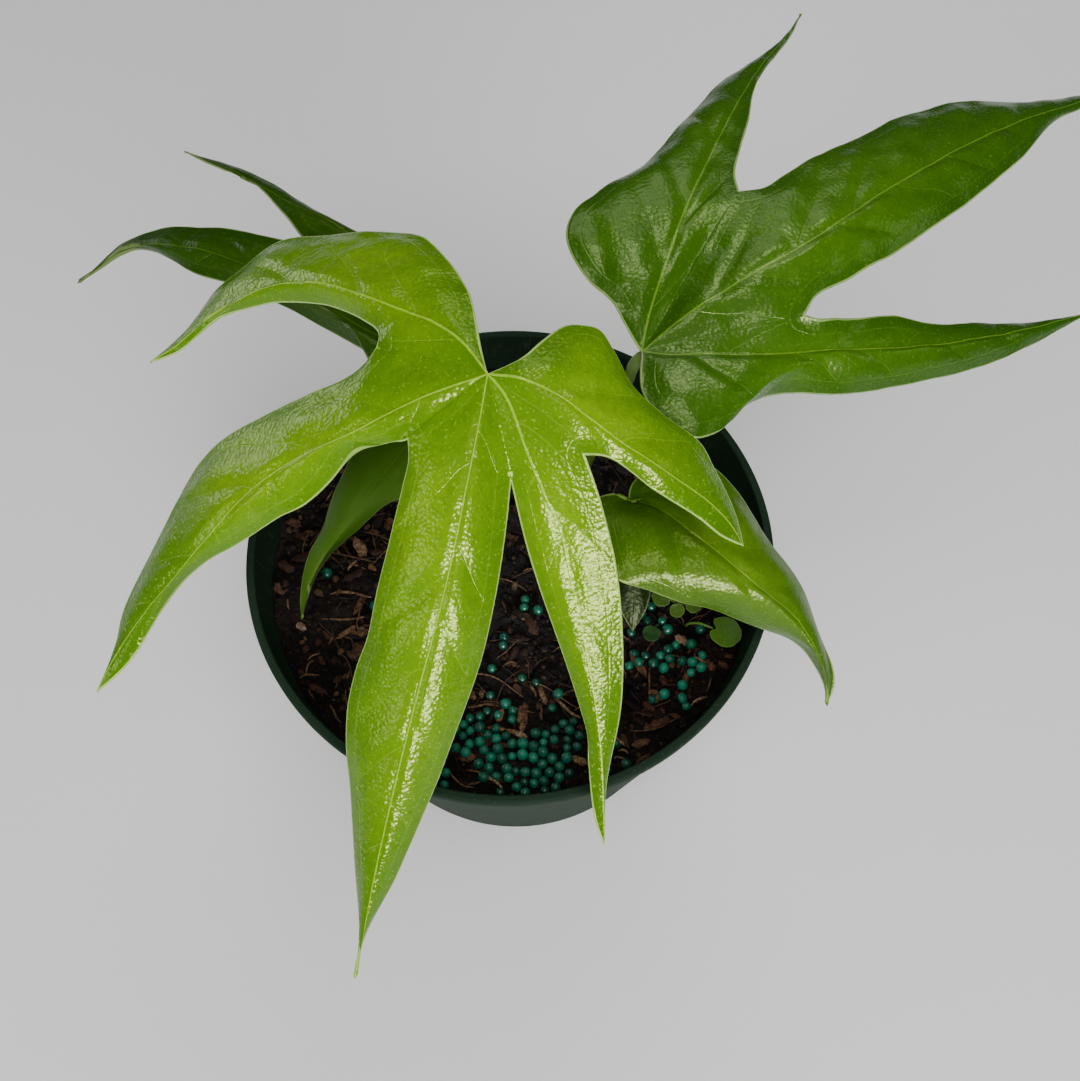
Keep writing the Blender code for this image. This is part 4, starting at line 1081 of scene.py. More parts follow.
def blade(leaf, rows, seed):
    """Upper surface of a leaf, quilted between its side veins, with its maps' values per corner."""
    sizes = settings().leaf
    spacing, quilting = sizes.vein_spacing / MM, sizes.quilting / MM
    halves = []
    sinuses = [None] + leaf["sinuses"] + [None]
    for number, lobe in enumerate(leaf["lobes"]):
        for side, sinus in (("before", sinuses[number]), ("after", sinuses[number + 1])):
            halves.append((number, side, *lobe_half(leaf, lobe, sinus, side, rows)))
    parts, values, heights = [], [], []
    for place, (number, side, grid, places) in enumerate(halves):
        near = halves[max(place - 1, 0):place + 2]
        places["rim"] = distance_to_lines(grid, [half[3]["margin"] for half in near])
        count = vein_count(places, spacing, number, side)
        heights.append(relief(grid, places, count, quilting, number, side, seed).ravel())
        quads = grid_quads(*grid.shape[:2])
        parts.append((grid.reshape(-1, 3), quads[:, ::-1] if side == "before" else quads))
        values.append(np.stack([count, places["t"], places["rim"], places["along"]], axis=-1))
    points, triangles, corners, inverse = weld(*join(parts))
    if point_normals(points, triangles)[:, 2].sum() < 0:
        triangles, corners = triangles[:, ::-1], corners[:, ::-1]
    points = settled(points, triangles)
    points[:, 2] += np.bincount(inverse, np.concatenate(heights)) / np.bincount(inverse)
    return points, triangles, np.concatenate(values).reshape(-1, 4)[corners]


def shell(points, triangles, corners, thickness):
    """Blade closed with an underside, a raised midrib below and a round edge.

    The underside is the upper side moved along its normals by the thickness, and by a rib more at
    the midrib, which is lower near the tip and the margin. The edge is a band whose middle is
    pushed outwards by half the thickness.
    """
    count, at = len(points), triangles.ravel()
    normals = point_normals(points, triangles)
    from_midrib, from_rim, along = np.full(count, 1e3), np.full(count, 1e3), np.zeros(count)
    np.minimum.at(from_midrib, at, corners[:, :, 1].ravel())
    np.minimum.at(from_rim, at, corners[:, :, 2].ravel())
    np.maximum.at(along, at, corners[:, :, 3].ravel())
    across_rib = from_midrib / (RIB_HALF_WIDTH - 0.9 * along)
    rib = (RIB_HEIGHT - 0.95 * along) * np.sqrt(np.clip(1 - across_rib ** 2, 0, 1))
    below = points - normals * (thickness + rib * smooth(from_rim, 0.0, 4.0))[:, None]

    rim = open_edges(triangles)
    a, b = rim.T
    side = unit(np.cross(points[b] - points[a], normals[a] + normals[b]))
    outward = np.zeros_like(points)
    np.add.at(outward, a, side)
    np.add.at(outward, b, side)
    on_rim = np.unique(rim)
    middle = points[on_rim] + (unit(outward)[on_rim] - normals[on_rim]) * thickness * 0.5
    middle_of = np.full(count, -1)
    middle_of[on_rim] = 2 * count + np.arange(len(on_rim))
    c, d = middle_of[a], middle_of[b]
    bands = [(b, a, c), (b, c, d), (d, c, a + count), (d, a + count, b + count)]
    faces = np.concatenate([triangles, triangles[:, ::-1] + count]
                           + [np.stack(band, axis=1) for band in bands])
    values = np.concatenate([corners.reshape(-1, 4), corners[:, ::-1].reshape(-1, 4),
                             np.tile(EDGE_VALUES, (len(rim) * 12, 1))])
    material = np.repeat([0, 1, 0], [len(triangles), len(triangles), len(rim) * 4])
    return np.concatenate([points, below, middle]), faces, values, material


def stalk(leaf):
    """Leaf stalk from the stem to the blade, with a swollen joint just below the blade.

    It ends under the blade, a little towards the side that the lobes spread to.
    """
    junction = np.array(leaf["junction"], dtype=float)
    ways = np.array([lobe["midrib"][1] for lobe in leaf["lobes"]]) - junction
    end = junction + 1.4 * unit(unit(ways).mean(axis=0) * (1, 1, 0)) + (0, 0, -1.5)
    fractions = np.linspace(0, 1, STALK_ROWS)
    path = curve_through(leaf["petiole"] + [end], fractions)
    radii = np.interp(fractions, np.linspace(0, 1, len(STALK_RADII)), STALK_RADII)
    left = length_along(path)[-1] - length_along(path)
    radii = radii * (1 + 0.12 * np.exp(-((left - 5.0) / 3.0) ** 2)) * np.clip(0.5 + left / 3, 0, 1)
    return tube(path, radii, STALK_SIDES)


class MakeLeaves(bpy.types.Operator):
    """Make the five leaves with their stalks"""

    bl_idname = "anthurium.make_leaves"
    bl_label = "Make Leaves"

    def execute(self, context):
        for key, (leaf, rows, seed, strength, lift, sheen, slot) in LEAVES.items():
            name = "leaf_" + key
            colour = tuple(getattr(settings().leaf, key + "_colour"))
            vein = toned(colour, 1.3, np.array((0.16, 0.19, 0.03)) * lift)
            # Painted highlight: a paler colour for the margin and round edge, as the edge catching
            # light.
            margin = toned(colour, 1.0, np.array((0.24, 0.28, 0.12)) * lift ** 0.5)
            # Only the left leaf gets painted light on its front lobe.
            front = LEFT_LEAF_PAINTED_LIGHT if key == "left" else None
            materials = [leaf_upper(name + "_upper", colour, vein, margin, strength, sheen, front),
                         leaf_lower(name + "_lower", colour, vein),
                         stalk_finish(name + "_stalk", STALK_COLOUR)]
            thickness = settings().leaf.thickness / MM
            points, faces, values, kinds = shell(*blade(leaf, rows, seed), thickness)
            leaf_stalk = stalk(leaf)
            on_stalk = len(leaf_stalk[1])
            points, faces = join([(points, faces), leaf_stalk])
            values = np.concatenate([values, np.tile(STALK_VALUES, (on_stalk * 3, 1))])
            make_piece(name + "_blade", points, faces, materials, [name], values,
                       face_material=np.concatenate([kinds, np.full(on_stalk, 2)]))
        return {"FINISHED"}


def inner_wall_radius(height):
    """Radius of the pot's inner wall at a height."""
    sizes = settings().pot
    wall_top = sizes.height / MM - POT_LIP_HEIGHT
    shoulder = sizes.rim_radius / MM - POT_LIP_STEP
    return POT_BASE_RADIUS + (shoulder - POT_BASE_RADIUS) * height / wall_top - POT_WALL


def arc(centre, radius, start, end, steps):
    """Points (radius, height) round part of a circle, with the angles in degrees."""
    angles = np.radians(np.linspace(start, end, steps + 1))
    return np.array(centre) + radius * np.stack([np.cos(angles), np.sin(angles)], axis=1)


def turned(profile, segments):
    """Grid of points of a profile of (radius, height) turned about Z, and its quads."""
    profile = np.asarray(profile, dtype=float)
    points = spun(profile[:, :1], profile[:, 1:], circle(segments))
    return points.reshape(-1, 3), grid_quads(len(profile), segments, wrap=True)


def pot_wall_profile():
    """Outline from the edge of the underside, up the wall, round the lip and down inside."""
    sizes = settings().pot
    height, rim = sizes.height / MM, sizes.rim_radius / MM
    wall_top, shoulder, lip_edge = height - POT_LIP_HEIGHT, rim - POT_LIP_STEP, rim - POT_LIP_ROUND
    slope = math.degrees(math.atan2(shoulder - POT_BASE_RADIUS, wall_top))
    floor_top = POT_WALL + POT_FLOOR_ROUND
    foot = arc((POT_BASE_RADIUS - POT_BASE_ROUND, POT_BASE_ROUND), POT_BASE_ROUND, -90, -slope, 8)
    outer = np.linspace(0.04, 1.0, 40)[:, None]
    wall = foot[-1] + (np.array([shoulder, wall_top]) - foot[-1]) * outer
    inner_round = (shoulder - POT_WALL + POT_LIP_INNER_ROUND, height - POT_LIP_INNER_ROUND)
    lip = [arc((lip_edge, wall_top + POT_LIP_ROUND), POT_LIP_ROUND, -75, 0, 5),
           arc((lip_edge, height - POT_LIP_ROUND), POT_LIP_ROUND, 0, 90, 6),
           arc(inner_round, POT_LIP_INNER_ROUND, 90, 180, 5)]
    inner = np.linspace((inner_wall_radius(wall_top), wall_top),
                        (inner_wall_radius(floor_top), floor_top), 30)
    floor_edge = arc((inner[-1, 0] - POT_FLOOR_ROUND, floor_top), POT_FLOOR_ROUND, -8, -90, 6)
    return np.concatenate([foot, wall, *lip, inner, floor_edge])


def drilled_disc(height, radius, segments):
    """Flat disc with a ring of round holes, as grids: centre, edge, and a patch round each hole.

    A patch runs straight from the hole's circle to the outline of its share of the ring.
    """
    inside, outside = DRAIN_PATCH
    parts = [turned([(r, height) for r in np.linspace(0, inside, 8)], segments),
             turned([(r, height) for r in np.linspace(outside, radius, 4)], segments)]
    rings = []
    out = np.linspace(inside, outside, 9)
    sweep = math.tau * np.arange(segments // DRAIN_HOLES) / segments
    share, steps = len(sweep), len(out) - 1
    for start in circle(DRAIN_HOLES):
        end = start + math.tau / DRAIN_HOLES
        angles = np.concatenate([start + sweep, np.full(steps, end), end - sweep,
                                 np.full(steps, start)])
        radii = np.concatenate([np.full(share, inside), out[:-1], np.full(share, outside),
                                out[:0:-1]])
        outline = spun(radii, height, angles)
        middle = spun(DRAIN_HOLE_CIRCLE, height, (start + end) / 2)
        ring = middle + DRAIN_HOLE_RADIUS * unit(outline - middle)
        patch = ring + (outline - ring) * np.linspace(0, 1, 6)[:, None, None]
        parts.append((patch.reshape(-1, 3), grid_quads(6, len(outline), wrap=True)[:, ::-1]))
        rings.append(ring)
    return parts, rings


class MakePot(bpy.types.Operator):
    """Make the tapered pot with its lip and drain holes"""

    bl_idname = "anthurium.make_pot"
    bl_label = "Make Pot"

    def execute(self, context):
        segments = settings().pot.segments
        profile = pot_wall_profile()
        under, under_rings = drilled_disc(0.0, profile[0][0], segments)
        floor, floor_rings = drilled_disc(POT_WALL, profile[-1][0], segments)
        parts = [turned(profile, segments)]
        parts += [(points, quads[:, ::-1]) for points, quads in floor]
        parts += under
        for ends in zip(under_rings, floor_rings):
            parts.append((np.concatenate(ends), grid_quads(2, len(ends[0]), wrap=True)))
        points, triangles = weld(*join(parts))[:2]
        make_piece("pot_shell", points, triangles, [pot_finish()], ["pot"], sharp=40)
        return {"FINISHED"}


def heap_distance(x, y):
    """Distance from the heap's middle, 1 at its edge."""
    low, high = np.array(HEAP_BOX[0]) / MM, np.array(HEAP_BOX[1]) / MM
    centre, reach = (low + high) / 2, (high - low) / 2
    return np.hypot((x - centre[0]) / reach[0], (y - centre[1]) / reach[1])


def soil_height(x, y):
    """Height of the potting mix: the bed's own bumps, a rise at the wall, and crumbly relief.

    The relief is four sets of waves, each about half as long and two thirds as high as the last.
    """
    radius = np.hypot(x, y) / SOIL_RADIUS
    bumps = (np.sin(0.13 * x + 0.4) * np.cos(0.17 * y - 1.1)
             + 0.6 * np.sin(0.31 * x - 0.22 * y + 2.0) + 0.4 * np.cos(0.24 * x + 0.37 * y))
    level = np.clip((heap_distance(x, y) - 1.3) * 4, 0.0, 1.0)
    crumbs = (0.45 * waves(x, y, 13.0, 7, SOIL_SEED) + 0.34 * waves(x, y, 6.0, 9, SOIL_SEED + 1)
              + 0.24 * np.abs(waves(x, y, 3.2, 9, SOIL_SEED + 2))
              + 0.15 * np.abs(waves(x, y, 1.7, 9, SOIL_SEED + 3)))
    return (SOIL_LEVEL + level * (SOIL_RELIEF * bumps + SOIL_RISE_AT_WALL * radius ** 6)
            + (0.35 + 0.65 * level) * crumbs - 0.3)


def on_soil(pixels):
    """Places (x, y) on the potting mix that pixels of the picture show."""
    dip = math.radians(CAMERA_DIP)
    ahead = np.array([0, math.cos(dip), -math.sin(dip)])
    up = np.array([0, math.sin(dip), math.cos(dip)])
    focal = CAMERA_LENS / CAMERA_SENSOR * PICTURE[1]
    right, down = np.split((pixels - np.array(PICTURE) / 2) / focal, 2, axis=1)
    ray = ahead + right * (1, 0, 0) - down * up
    reach = (SOIL_LEVEL + 0.8 - CAMERA_PLACE[2]) / ray[:, 2:]
    return CAMERA_PLACE[:2] + reach * ray[:, :2]


def turns(yaw, pitch, roll):
    """Rotation matrices that roll about X, pitch about Y and then yaw about Z."""
    cz, sz, cy, sy = np.cos(yaw), np.sin(yaw), np.cos(pitch), np.sin(pitch)
    cx, sx = np.cos(roll), np.sin(roll)
    rows = [[cz * cy, cz * sy * sx - sz * cx, cz * sy * cx + sz * sx],
            [sz * cy, sz * sy * sx + cz * cx, sz * sy * cx - cz * sx],
            [-sy, cy * sx, cy * cx]]
    return np.moveaxis(np.array(rows), -1, 0)


def seated(shapes, matrices, places, lift):
    """Shapes (count, points, 3) turned by their matrices and set on the bed, each with a lift."""
    spots = np.column_stack([places, soil_height(*places.T) + lift])
    return np.einsum("nij,nvj->nvi", matrices, shapes) + spots[:, None]


def make_scraps(name, shapes, faces, shades, material, replaced=(), sharp=None):
    """One piece from many copies of a shape, each with its own points (count, points, 3)."""
    count, size = shapes.shape[:2]
    every = (faces + (np.arange(count) * size)[:, None, None]).reshape(-1, 3)
    make_piece(name, shapes.reshape(-1, 3), every, [material], replaced,
               shade=np.repeat(shades, size), sharp=sharp)


def ball(rows, columns):
    """Unit ball as a closed grid with its poles as single points: points and faces."""
    polar = (np.pi * (np.arange(rows - 1) + 1) / rows)[:, None]
    points = spun(np.sin(polar), np.cos(polar), circle(columns)).reshape(-1, 3)
    poles = [[0, 0, 1], [0, 0, -1]]
    return np.concatenate([points, poles]), bar_faces(rows - 1, columns, flipped=True)


def free_places(draw, count, margin):
    """Seeded places (x, y) on the bed, clear of the wall, the heap and the stem."""
    limit = inner_wall_radius(SOIL_LEVEL) - margin
    radius = limit * np.sqrt(draw.random(count * 2))
    angle = draw.uniform(0, math.tau, count * 2)
    places = spun(radius, 0.0, angle)[:, :2]
    clear = heap_distance(*places.T) > 1.15
    clear &= np.linalg.norm(places - STEM_PLACE, axis=1) > STEM_RADIUS + margin * 0.5
    return places[clear][:count]


class MakePottingMix(bpy.types.Operator):
    """Make the bed of potting mix with its crumbs, bark chips and straws"""

    bl_idname = "anthurium.make_potting_mix"
    bl_label = "Make Potting Mix"

    def execute(self, context):
        draw = default_rng(SOIL_SEED)
        self.bed()
        bark = scrap_finish("bark_brown", BARK_STOPS, 0.8, 260.0)
        dark = [(at, toned(colour, 0.6)) for at, colour in BARK_STOPS]
        crumb = scrap_finish("crumb_brown", dark, 0.9, 500.0)
        straw = scrap_finish("straw_tan", STRAW_STOPS, 0.7, 700.0)
        self.crumbs(draw, crumb)
        self.chips(draw, bark)
        self.straws(draw, straw)
        return {"FINISHED"}

    def bed(self):
        """Body of the bed: its top is a height over rings, and its side follows the pot's wall."""
        segments, rings = 420, 140
        reach = inner_wall_radius(SOIL_LEVEL) - SOIL_GAP
        top = spun((reach * np.arange(rings + 1) / rings)[:, None], 0.0, circle(segments))
        top[:, :, 2] = soil_height(top[:, :, 0], top[:, :, 1])
        foot = POT_WALL + POT_FLOOR_ROUND
        corners = [(inner_wall_radius(z) - SOIL_GAP, z) for z in (SOIL_SIDE_STEP, foot)]
        base = POT_WALL + SOIL_FLOOR_GAP
        corners += [(inner_wall_radius(POT_WALL) - POT_FLOOR_ROUND, base), (0.0, base)]
        points = np.concatenate([top.reshape(-1, 3), turned(corners, segments)[0]])
        quads = grid_quads(rings + 1 + len(corners), segments, wrap=True)
        points, triangles = weld(points, quads)[:2]
        make_piece("potting_mix_bed", points, triangles, [bed_finish()],
                   ["potting_mix"])

    def crumbs(self, draw, material):
        """Small knobbly crumbs over the whole bed: balls with each point moved in or out."""
        places = free_places(draw, CRUMBS, 1.2)
        count = len(places)
        shape, faces = ball(4, 6)
        size = 0.35 + 0.95 * draw.random(count) ** 3
        knobs = draw.uniform(0.65, 1.3, (count, len(shape), 1))
        stretch = draw.uniform(0.6, 1.4, (count, 1, 3))
        matrices = turns(*draw.uniform(0, math.tau, (3, count)))
        shades = draw.random(count) ** 1.6 * 0.85
        shapes = shape * knobs * stretch * size[:, None, None]
        make_scraps("potting_mix_crumbs", seated(shapes, matrices, places, 0.25 * size), faces,
                    shades, material)

    def chips(self, draw, material):
        """Flat ragged bark chips: tapered round bars with uneven outlines, squashed flat.

        A chip that would reach into the pot's wall is pulled towards the middle.
        """
        seen = np.array(SEEN_CHIPS)
        start, end = on_soil(seen[:, :2]), on_soil(seen[:, 2:4])
        way = end - start
        strewn = free_places(draw, STREWN_CHIPS, 5.0)
        more = len(strewn)
        length = np.concatenate([np.linalg.norm(way, axis=1), 2.5 + 8 * draw.random(more) ** 2])
        width = np.concatenate([seen[:, 4] * PIXEL,
                                length[len(seen):] * draw.uniform(0.25, 0.6, more)])
        yaw = np.concatenate([np.arctan2(way[:, 1], way[:, 0]), draw.uniform(0, math.tau, more)])
        places = np.concatenate([(start + end) / 2, strewn])
        shades = np.concatenate([seen[:, 5], draw.random(more) ** 1.5 * 0.75])
        lift = np.concatenate([np.full(len(seen), SEEN_LIFT), draw.uniform(-0.1, 0.6, more)])
        count, rings, sides = len(places), 7, 8
        along = np.linspace(-0.5, 0.5, rings)[:, None]
        angle = math.tau * (np.arange(sides) + 0.5) / sides
        bulge = np.sqrt(np.clip(1 - (2 * np.abs(along)) ** 3.5, 0.02, 1))
        ragged = draw.uniform(0.62, 1.12, (count, rings, sides)) * bulge
        shift = draw.uniform(-0.06, 0.06, (count, rings, sides))
        thick = draw.uniform(0.5, 1.1, (count, 1, 1))
        length, width = length[:, None, None], width[:, None, None]
        body = np.stack([(along + shift) * length, ragged * np.cos(angle) * width / 2,
                         ragged * np.sin(angle) * thick], axis=3).reshape(count, -1, 3)
        shapes = np.concatenate([body, length * [[-0.53, 0, 0], [0.53, 0, 0]]], axis=1)
        matrices = turns(yaw, draw.uniform(-0.22, 0.22, count), draw.uniform(-0.35, 0.35, count))
        plan = np.einsum("nij,nvj->nvi", matrices, shapes)[:, :, :2] + places[:, None]
        past = np.linalg.norm(plan, axis=2).max(axis=1) - inner_wall_radius(SOIL_LEVEL) + 0.5
        places *= (1 - 1.05 * past.clip(0) / np.linalg.norm(places, axis=1))[:, None]
        make_scraps("bark_chips", seated(shapes, matrices, places, lift), bar_faces(rings, sides),
                    shades, material, sharp=35)

    def straws(self, draw, material):
        """Thin bent straws and fibres lying over the bed, round in section."""
        seen = np.array(SEEN_STRAWS)
        strewn = free_places(draw, STREWN_STRAWS, 7.0)
        more = len(strewn)
        heading = draw.uniform(0, math.tau, more)
        reach = spun(2.0 + 9.0 * draw.random(more) ** 2, 0.0, heading)[:, :2]
        start = np.concatenate([on_soil(seen[:, :2]), strewn - reach])
        end = np.concatenate([on_soil(seen[:, 2:4]), strewn + reach])
        inside = inner_wall_radius(SOIL_LEVEL) - 1.0
        kept = np.maximum(np.linalg.norm(start, axis=1), np.linalg.norm(end, axis=1)) < inside
        radius = np.concatenate([seen[:, 4] * PIXEL / 2, draw.uniform(0.12, 0.34, more)])
        shades = np.concatenate([seen[:, 5], draw.uniform(0.1, 0.8, more)])
        lift = np.concatenate([np.full(len(seen), SEEN_LIFT), draw.uniform(0.1, 1.0, more)])
        start, end, radius, shades, lift = (part[kept] for part in
                                            (start, end, radius, shades, lift))
        count, rings = len(start), 9
        t = np.linspace(0, 1, rings)
        bend = draw.uniform(-0.16, 0.16, (count, 1)) * np.sin(math.pi * t)
        bend += draw.uniform(-0.04, 0.04, (count, 1)) * np.sin(2 * math.pi * t)
        dx, dy = (end - start).T[:, :, None]
        x = start[:, :1] + dx * t - dy * bend
        y = start[:, 1:] + dy * t + dx * bend
        arch = draw.uniform(-0.2, 1.3, (count, 1)) * np.sin(math.pi * t)
        ground = soil_height(x, y)
        z = (ground + ground.mean(axis=1, keepdims=True)) / 2 + lift[:, None] + arch
        taper = 1 - 0.55 * np.abs(2 * t - 1) ** 3
        size = radius[:, None] * taper * draw.uniform(0.8, 1.2, (count, rings))
        shapes, faces = tubes(np.stack([x, y, z], axis=2), size, 5, (0.0, 0.0, 1.0))
        make_scraps("straw_fibres", shapes, faces, shades, material)


class MakeFertiliser(bpy.types.Operator):
    """Make the fertiliser prills, in the heap and loose on the bed"""

    bl_idname = "anthurium.make_fertiliser"
    bl_label = "Make Fertiliser"

    def execute(self, context):
        draw = default_rng(SOIL_SEED + 30)
        seen = on_soil(np.array(SEEN_PRILLS))
        clouds = [draw.normal(middle, spread, (number, 2))
                  for middle, spread, number in PRILL_CLOUDS]
        hidden = np.concatenate([*clouds, free_places(draw, STREWN_PRILLS, 3.0)])
        wall = inner_wall_radius(SOIL_LEVEL) - 2.2
        kept = (np.linalg.norm(hidden, axis=1) < wall) & ~self.shown(*hidden.T)
        places = np.concatenate([seen, hidden[kept]])
        radii = PRILL_RADIUS * draw.uniform(0.82, 1.12, len(places))
        self.prills(draw, self.parted(places, radii, wall), radii)
        return {"FINISHED"}

    def shown(self, x, y):
        """Whether the picture shows a place bare, so that no prill is added there."""
        left = (x < -8) & (y < 30) & (x + y < -20) & (y > -50)
        between = (np.abs(x - 8) < 12) & (y > -62) & (y < 0)
        right = (x > 38) & (y < -20)
        return left | between | right

    def parted(self, places, radii, wall):
        """Places pushed apart until no two prills overlap by more than a little."""
        apart = (radii[:, None] + radii[None]) * 0.96
        np.fill_diagonal(apart, 0.0)
        for _ in range(30):
            way = places[:, None] - places[None]
            distance = np.maximum(np.linalg.norm(way, axis=2), 1e-6)
            push = np.clip(apart - distance, 0, None) * 0.3 / distance
            places = places + (way * push[:, :, None]).sum(axis=1)
            radius = np.linalg.norm(places, axis=1)
            places *= np.minimum(1.0, wall / radius)[:, None]
        return places

    def prills(self, draw, places, radii):
        """Slightly uneven balls resting in the bed, one piece for the heap and one for the rest."""
        shape, faces = ball(7, 12)
        count = len(places)
        lift = radii * 0.62 + draw.uniform(0.0, 0.35, count)
        stretch = draw.uniform(0.93, 1.05, (count, 1, 3))
        matrices = turns(*draw.uniform(0, math.tau, (3, count)))
        shades = draw.uniform(0.1, 1.0, count)
        shapes = seated(shape * stretch * radii[:, None, None], matrices, places, lift)
        heap = heap_distance(*places.T) < 1.2
        material = prill_finish()
        for name, chosen, replaced in (("fertiliser_prills", heap, ["fertiliser_heap"]),
                                       ("loose_prills", ~heap, [])):
            make_scraps(name, shapes[chosen], faces, shades[chosen], material,
                        replaced)


class MakeStem(bpy.types.Operator):
    """Make the short stem with its ring scars and papery sheaths"""

    bl_idname = "anthurium.make_stem"
    bl_label = "Make Stem"

    def execute(self, context):
        self.body()
        self.sheaths()
        return {"FINISHED"}

    def body(self):
        """A turned bar with a domed top, pinched at each ring scar and uneven round its girth."""
        rows, segments = 60, 72
        low, high = STEM_BOX[0][2] / MM, STEM_BOX[1][2] / MM
        rise = np.linspace(0, 1, rows)[:, None]
        height = low + (high - low) * rise
        girth = STEM_RADIUS * np.clip(1 - (np.clip(rise - 0.45, 0, 1) / 0.55) ** 2.6, 0, 1) ** 0.5
        scars = 1 - 0.05 * np.abs(np.cos(math.pi * height / STEM_SCAR_SPACING)) ** 12
        angle = circle(segments)
        uneven = (1 + 0.02 * np.sin(3 * angle + 0.4 * height)
                  + 0.012 * np.sin(7 * angle - 0.9 * height))
        top = spun(girth * scars * uneven * 0.97, height, angle, STEM_PLACE)
        foot = np.tile([*STEM_PLACE, low], (1, segments, 1))
        points = np.concatenate([foot, top]).reshape(-1, 3)
        points, triangles = weld(points, grid_quads(rows + 1, segments, wrap=True))[:2]
        make_piece("stem_body", points, triangles, [stem_finish()], ["stem"])

    def sheaths(self):
        """Thin pointed strips that curve round the stem and spread a little towards their tips."""
        draw = default_rng(SOIL_SEED + 60)
        parts = []
        rows, columns = 16, 13
        along, across = np.linspace(0, 1, rows)[:, None], np.linspace(-1, 1, columns)
        cap = np.arange(columns - 1)
        for start in SHEATH_TURNS:
            reach = draw.uniform(6.5, 9.5)
            width = 0.75 * (1 - along ** 1.7) ** 0.7
            turn = math.radians(start) + width * across + 0.05 * np.sin(9 * along + start)
            lean = draw.uniform(0.3, 1.4)
            radius = STEM_RADIUS + 0.1 + lean * along ** 2 + 0.12 * np.sin(14 * across + 5 * along)
            radius = radius - 2.6 * along ** 3 * (1 - across ** 2)
            height = SHEATH_FOOT + reach * along + 0.25 * np.sin(6 * across + start)
            outer = spun(radius, height, turn, STEM_PLACE)
            inner = outer - SHEATH_THICKNESS * spun(1.0, 0.0, turn)
            loop = np.concatenate([outer, inner[:, ::-1]], axis=1)
            parts.append((loop.reshape(-1, 3), grid_quads(rows, 2 * columns, wrap=True)[:, ::-1]))
            parts.append((loop[0], np.stack([cap, cap + 1, 2 * columns - 2 - cap,
                                             2 * columns - 1 - cap], axis=1)))
        points, triangles = weld(*join(parts))[:2]
        make_piece("stem_sheaths", points, triangles, [sheath_finish()])


def disc_leaf(centre, radius, notch, notch_depth, cup, tilt, lean):
    """Round thin leaf as a closed surface, with angles in degrees: points, quads and map values.

    The outline is a circle drawn in at the notch by a bell curve over the angle. The height is
    the cup times the square of the distance from the middle, with low ridges between its veins,
    and the whole is tilted and turned about its middle.
    """
    columns, rows = 64, 14
    notch, tilt, lean = np.radians((notch, tilt, lean))
    angle = circle(columns)
    apart = np.angle(np.exp(1j * (angle - notch)))
    outline = radius * (1 - notch_depth * np.exp(-(apart / 0.30) ** 2))
    outline = outline * (1 + 0.02 * np.sin(5 * angle + notch) + 0.012 * np.sin(9 * angle))
    out = np.sin(np.linspace(0, math.pi / 2, rows))
    fraction = np.concatenate([out, [1.012, 1.012], out[::-1]])[:, None]
    level = np.concatenate([np.zeros(rows), [-0.12, -0.24], np.full(rows, -0.36)])[:, None]
    ridges = 0.10 * np.abs(np.sin(3.5 * (angle - notch))) * fraction * (1 - fraction ** 2).clip(0)
    z = cup * fraction ** 2 + level + ridges + 0.12 * fraction ** 3 * np.sin(4 * angle)
    unturned, matrix = turns(np.array([-lean, lean]), np.array([0.0, tilt]), np.zeros(2))
    points = spun(outline * fraction, z, angle).reshape(-1, 3)
    points = points @ unturned.T @ matrix.T + np.array(centre)
    veins_passed = 7 * (angle - notch) / math.tau
    to_rim = outline * (1 - np.minimum(fraction, 1))
    under = np.arange(len(fraction))[:, None] > rows
    values = np.stack(np.broadcast_arrays(veins_passed, fraction, to_rim, under), axis=2)
    return points, grid_quads(len(fraction), columns, wrap=True), values.reshape(-1, 4)


class MakeWeeds(bpy.types.Operator):
    """Make the three small seedlings that grow in the potting mix"""

    bl_idname = "anthurium.make_weeds"
    bl_label = "Make Weeds"

    def execute(self, context):
        for name, weed in WEEDS.items():
            colour = tuple(getattr(settings().weed, weed["colour"]))
            materials = [weed_finish(name + "_leaf", colour, toned(colour, 1.5, 0.02)),
                         stalk_finish(name + "_stalk", toned(colour, 0.9))]
            discs = [disc_leaf(*sizes) for sizes in weed["leaves"]]
            points, faces, corners, _ = weld(*join([disc[:2] for disc in discs]))
            values = np.concatenate([disc[2] for disc in discs])[corners].reshape(-1, 4)
            on_leaves = len(faces)
            fractions = np.linspace(0, 1, WEED_STALK_ROWS)
            radii = np.linspace(*WEED_STALK_RADII, WEED_STALK_ROWS)
            stalks = [tube(curve_through(route, fractions), radii, WEED_STALK_SIDES)
                      for route in weed["stalks"]]
            points, faces = join([(points, faces), *stalks])
            on_stalks = len(faces) - on_leaves
            values = np.concatenate([values, np.zeros((on_stalks * 3, 4))])
            make_piece(name + "_plant", points, faces, materials, [name], values,
                       face_material=np.repeat([0, 1], [on_leaves, on_stalks]))
        return {"FINISHED"}


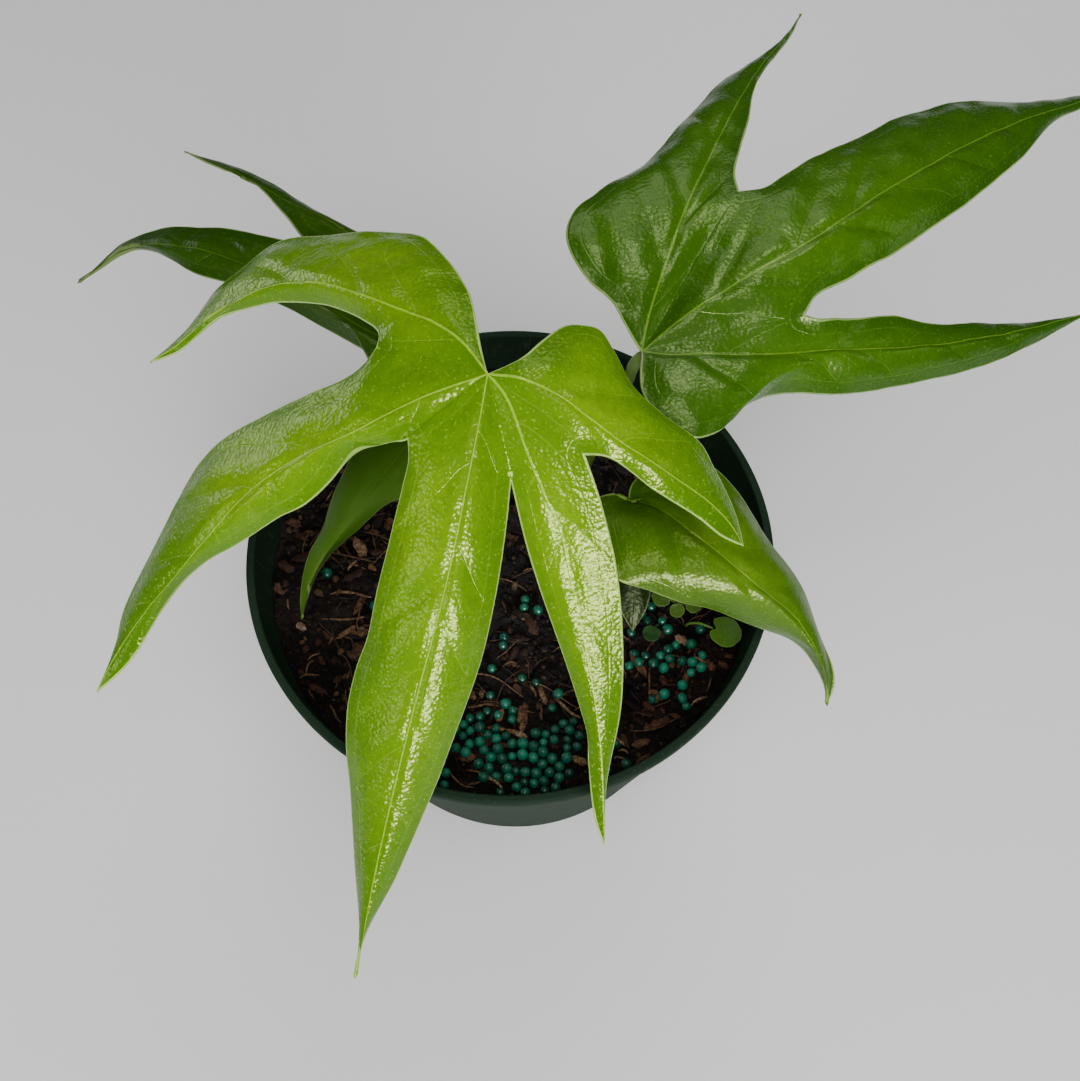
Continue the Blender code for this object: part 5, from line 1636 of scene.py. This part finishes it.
class MakeStage(bpy.types.Operator):
    """Make the pale floor, the soft lights and the camera"""

    bl_idname = "anthurium.make_stage"
    bl_label = "Make Stage"

    def execute(self, context):
        self.floor(context)
        self.lights(context)
        self.camera(context)
        return {"FINISHED"}

    def floor(self, context):
        """Large square floor at the height that the pot stands on."""
        mesh = bpy.data.meshes.new("floor")
        corners = [(x * FLOOR_REACH, y * FLOOR_REACH, 0) for x, y in
                   ((-1, -1), (1, -1), (1, 1), (-1, 1))]
        mesh.from_pydata(corners, [], [(0, 1, 2, 3)])
        floor = bpy.data.objects.new("floor", mesh)
        context.scene.collection.objects.link(floor)
        colour = tuple(settings().stage.floor_colour)
        mesh.materials.append(Finish("floor_paint").finish(colour, 0.8))

    def lights(self, context):
        """Even light from all round, and the soft lights, all aimed at the plant."""
        world = bpy.data.worlds.new("room")
        world.use_nodes = True
        background = world.node_tree.nodes["Background"]
        background.inputs["Color"].default_value = (1.0, 1.0, 1.0, 1.0)
        background.inputs["Strength"].default_value = settings().stage.room_light
        context.scene.world = world
        for name, azimuth, elevation, width, height, power, glossy in SOFT_LIGHTS:
            lamp = bpy.data.lights.new(name, "AREA")
            lamp.shape = "RECTANGLE"
            lamp.size = width
            lamp.size_y = height
            lamp.energy = power
            light = bpy.data.objects.new(name, lamp)
            light.visible_glossy = glossy
            light.visible_diffuse = not glossy
            turn = math.radians(azimuth)
            rise = math.radians(elevation)
            way = Vector((math.sin(turn) * math.cos(rise), math.cos(turn) * math.cos(rise),
                          math.sin(rise)))
            light.location = Vector(LIGHTS_AIM) + way * LIGHT_DISTANCE
            light.rotation_euler = (-way).to_track_quat("-Z", "Y").to_euler()
            context.scene.collection.objects.link(light)

    def camera(self, context):
        """Camera that sees the plant as the picture does."""
        camera = bpy.data.objects.new("camera", bpy.data.cameras.new("camera"))
        camera.data.sensor_width = CAMERA_SENSOR
        camera.data.lens = CAMERA_LENS
        camera.data.clip_start = 0.01
        camera.location = tuple(part * MM for part in CAMERA_PLACE)
        camera.rotation_euler = (math.radians(90 - CAMERA_DIP), 0.0, 0.0)
        context.scene.collection.objects.link(camera)
        context.scene.camera = camera


class AnthuriumPanel(bpy.types.Panel):
    """Panel that lists the pieces of the potted anthurium"""

    bl_idname = "VIEW3D_PT_anthurium"
    bl_label = "Potted Anthurium"
    bl_space_type = "VIEW_3D"
    bl_region_type = "UI"
    bl_category = "Anthurium"

    def draw(self, context):
        for operator in OPERATORS:
            self.layout.operator(operator.bl_idname)


OPERATORS = (MakeStage, MakePot, MakePottingMix, MakeFertiliser, MakeStem, MakeWeeds, MakeLeaves)
CLASSES = (LeafSettings, PotSettings, WeedSettings, StageSettings, AnthuriumSettings, *OPERATORS,
           AnthuriumPanel)


def register():
    """Register the classes and put the settings on the scene."""
    for one in CLASSES:
        bpy.utils.register_class(one)
    bpy.types.Scene.anthurium = bpy.props.PointerProperty(type=AnthuriumSettings)


def unregister():
    """Take the settings off the scene and the classes out again."""
    del bpy.types.Scene.anthurium
    for one in reversed(CLASSES):
        bpy.utils.unregister_class(one)


def main():
    """Make every piece in order."""
    register()
    bpy.ops.anthurium.make_stage()
    bpy.ops.anthurium.make_pot()
    bpy.ops.anthurium.make_potting_mix()
    bpy.ops.anthurium.make_fertiliser()
    bpy.ops.anthurium.make_stem()
    bpy.ops.anthurium.make_weeds()
    bpy.ops.anthurium.make_leaves()


if __name__ == "__main__":
    main()
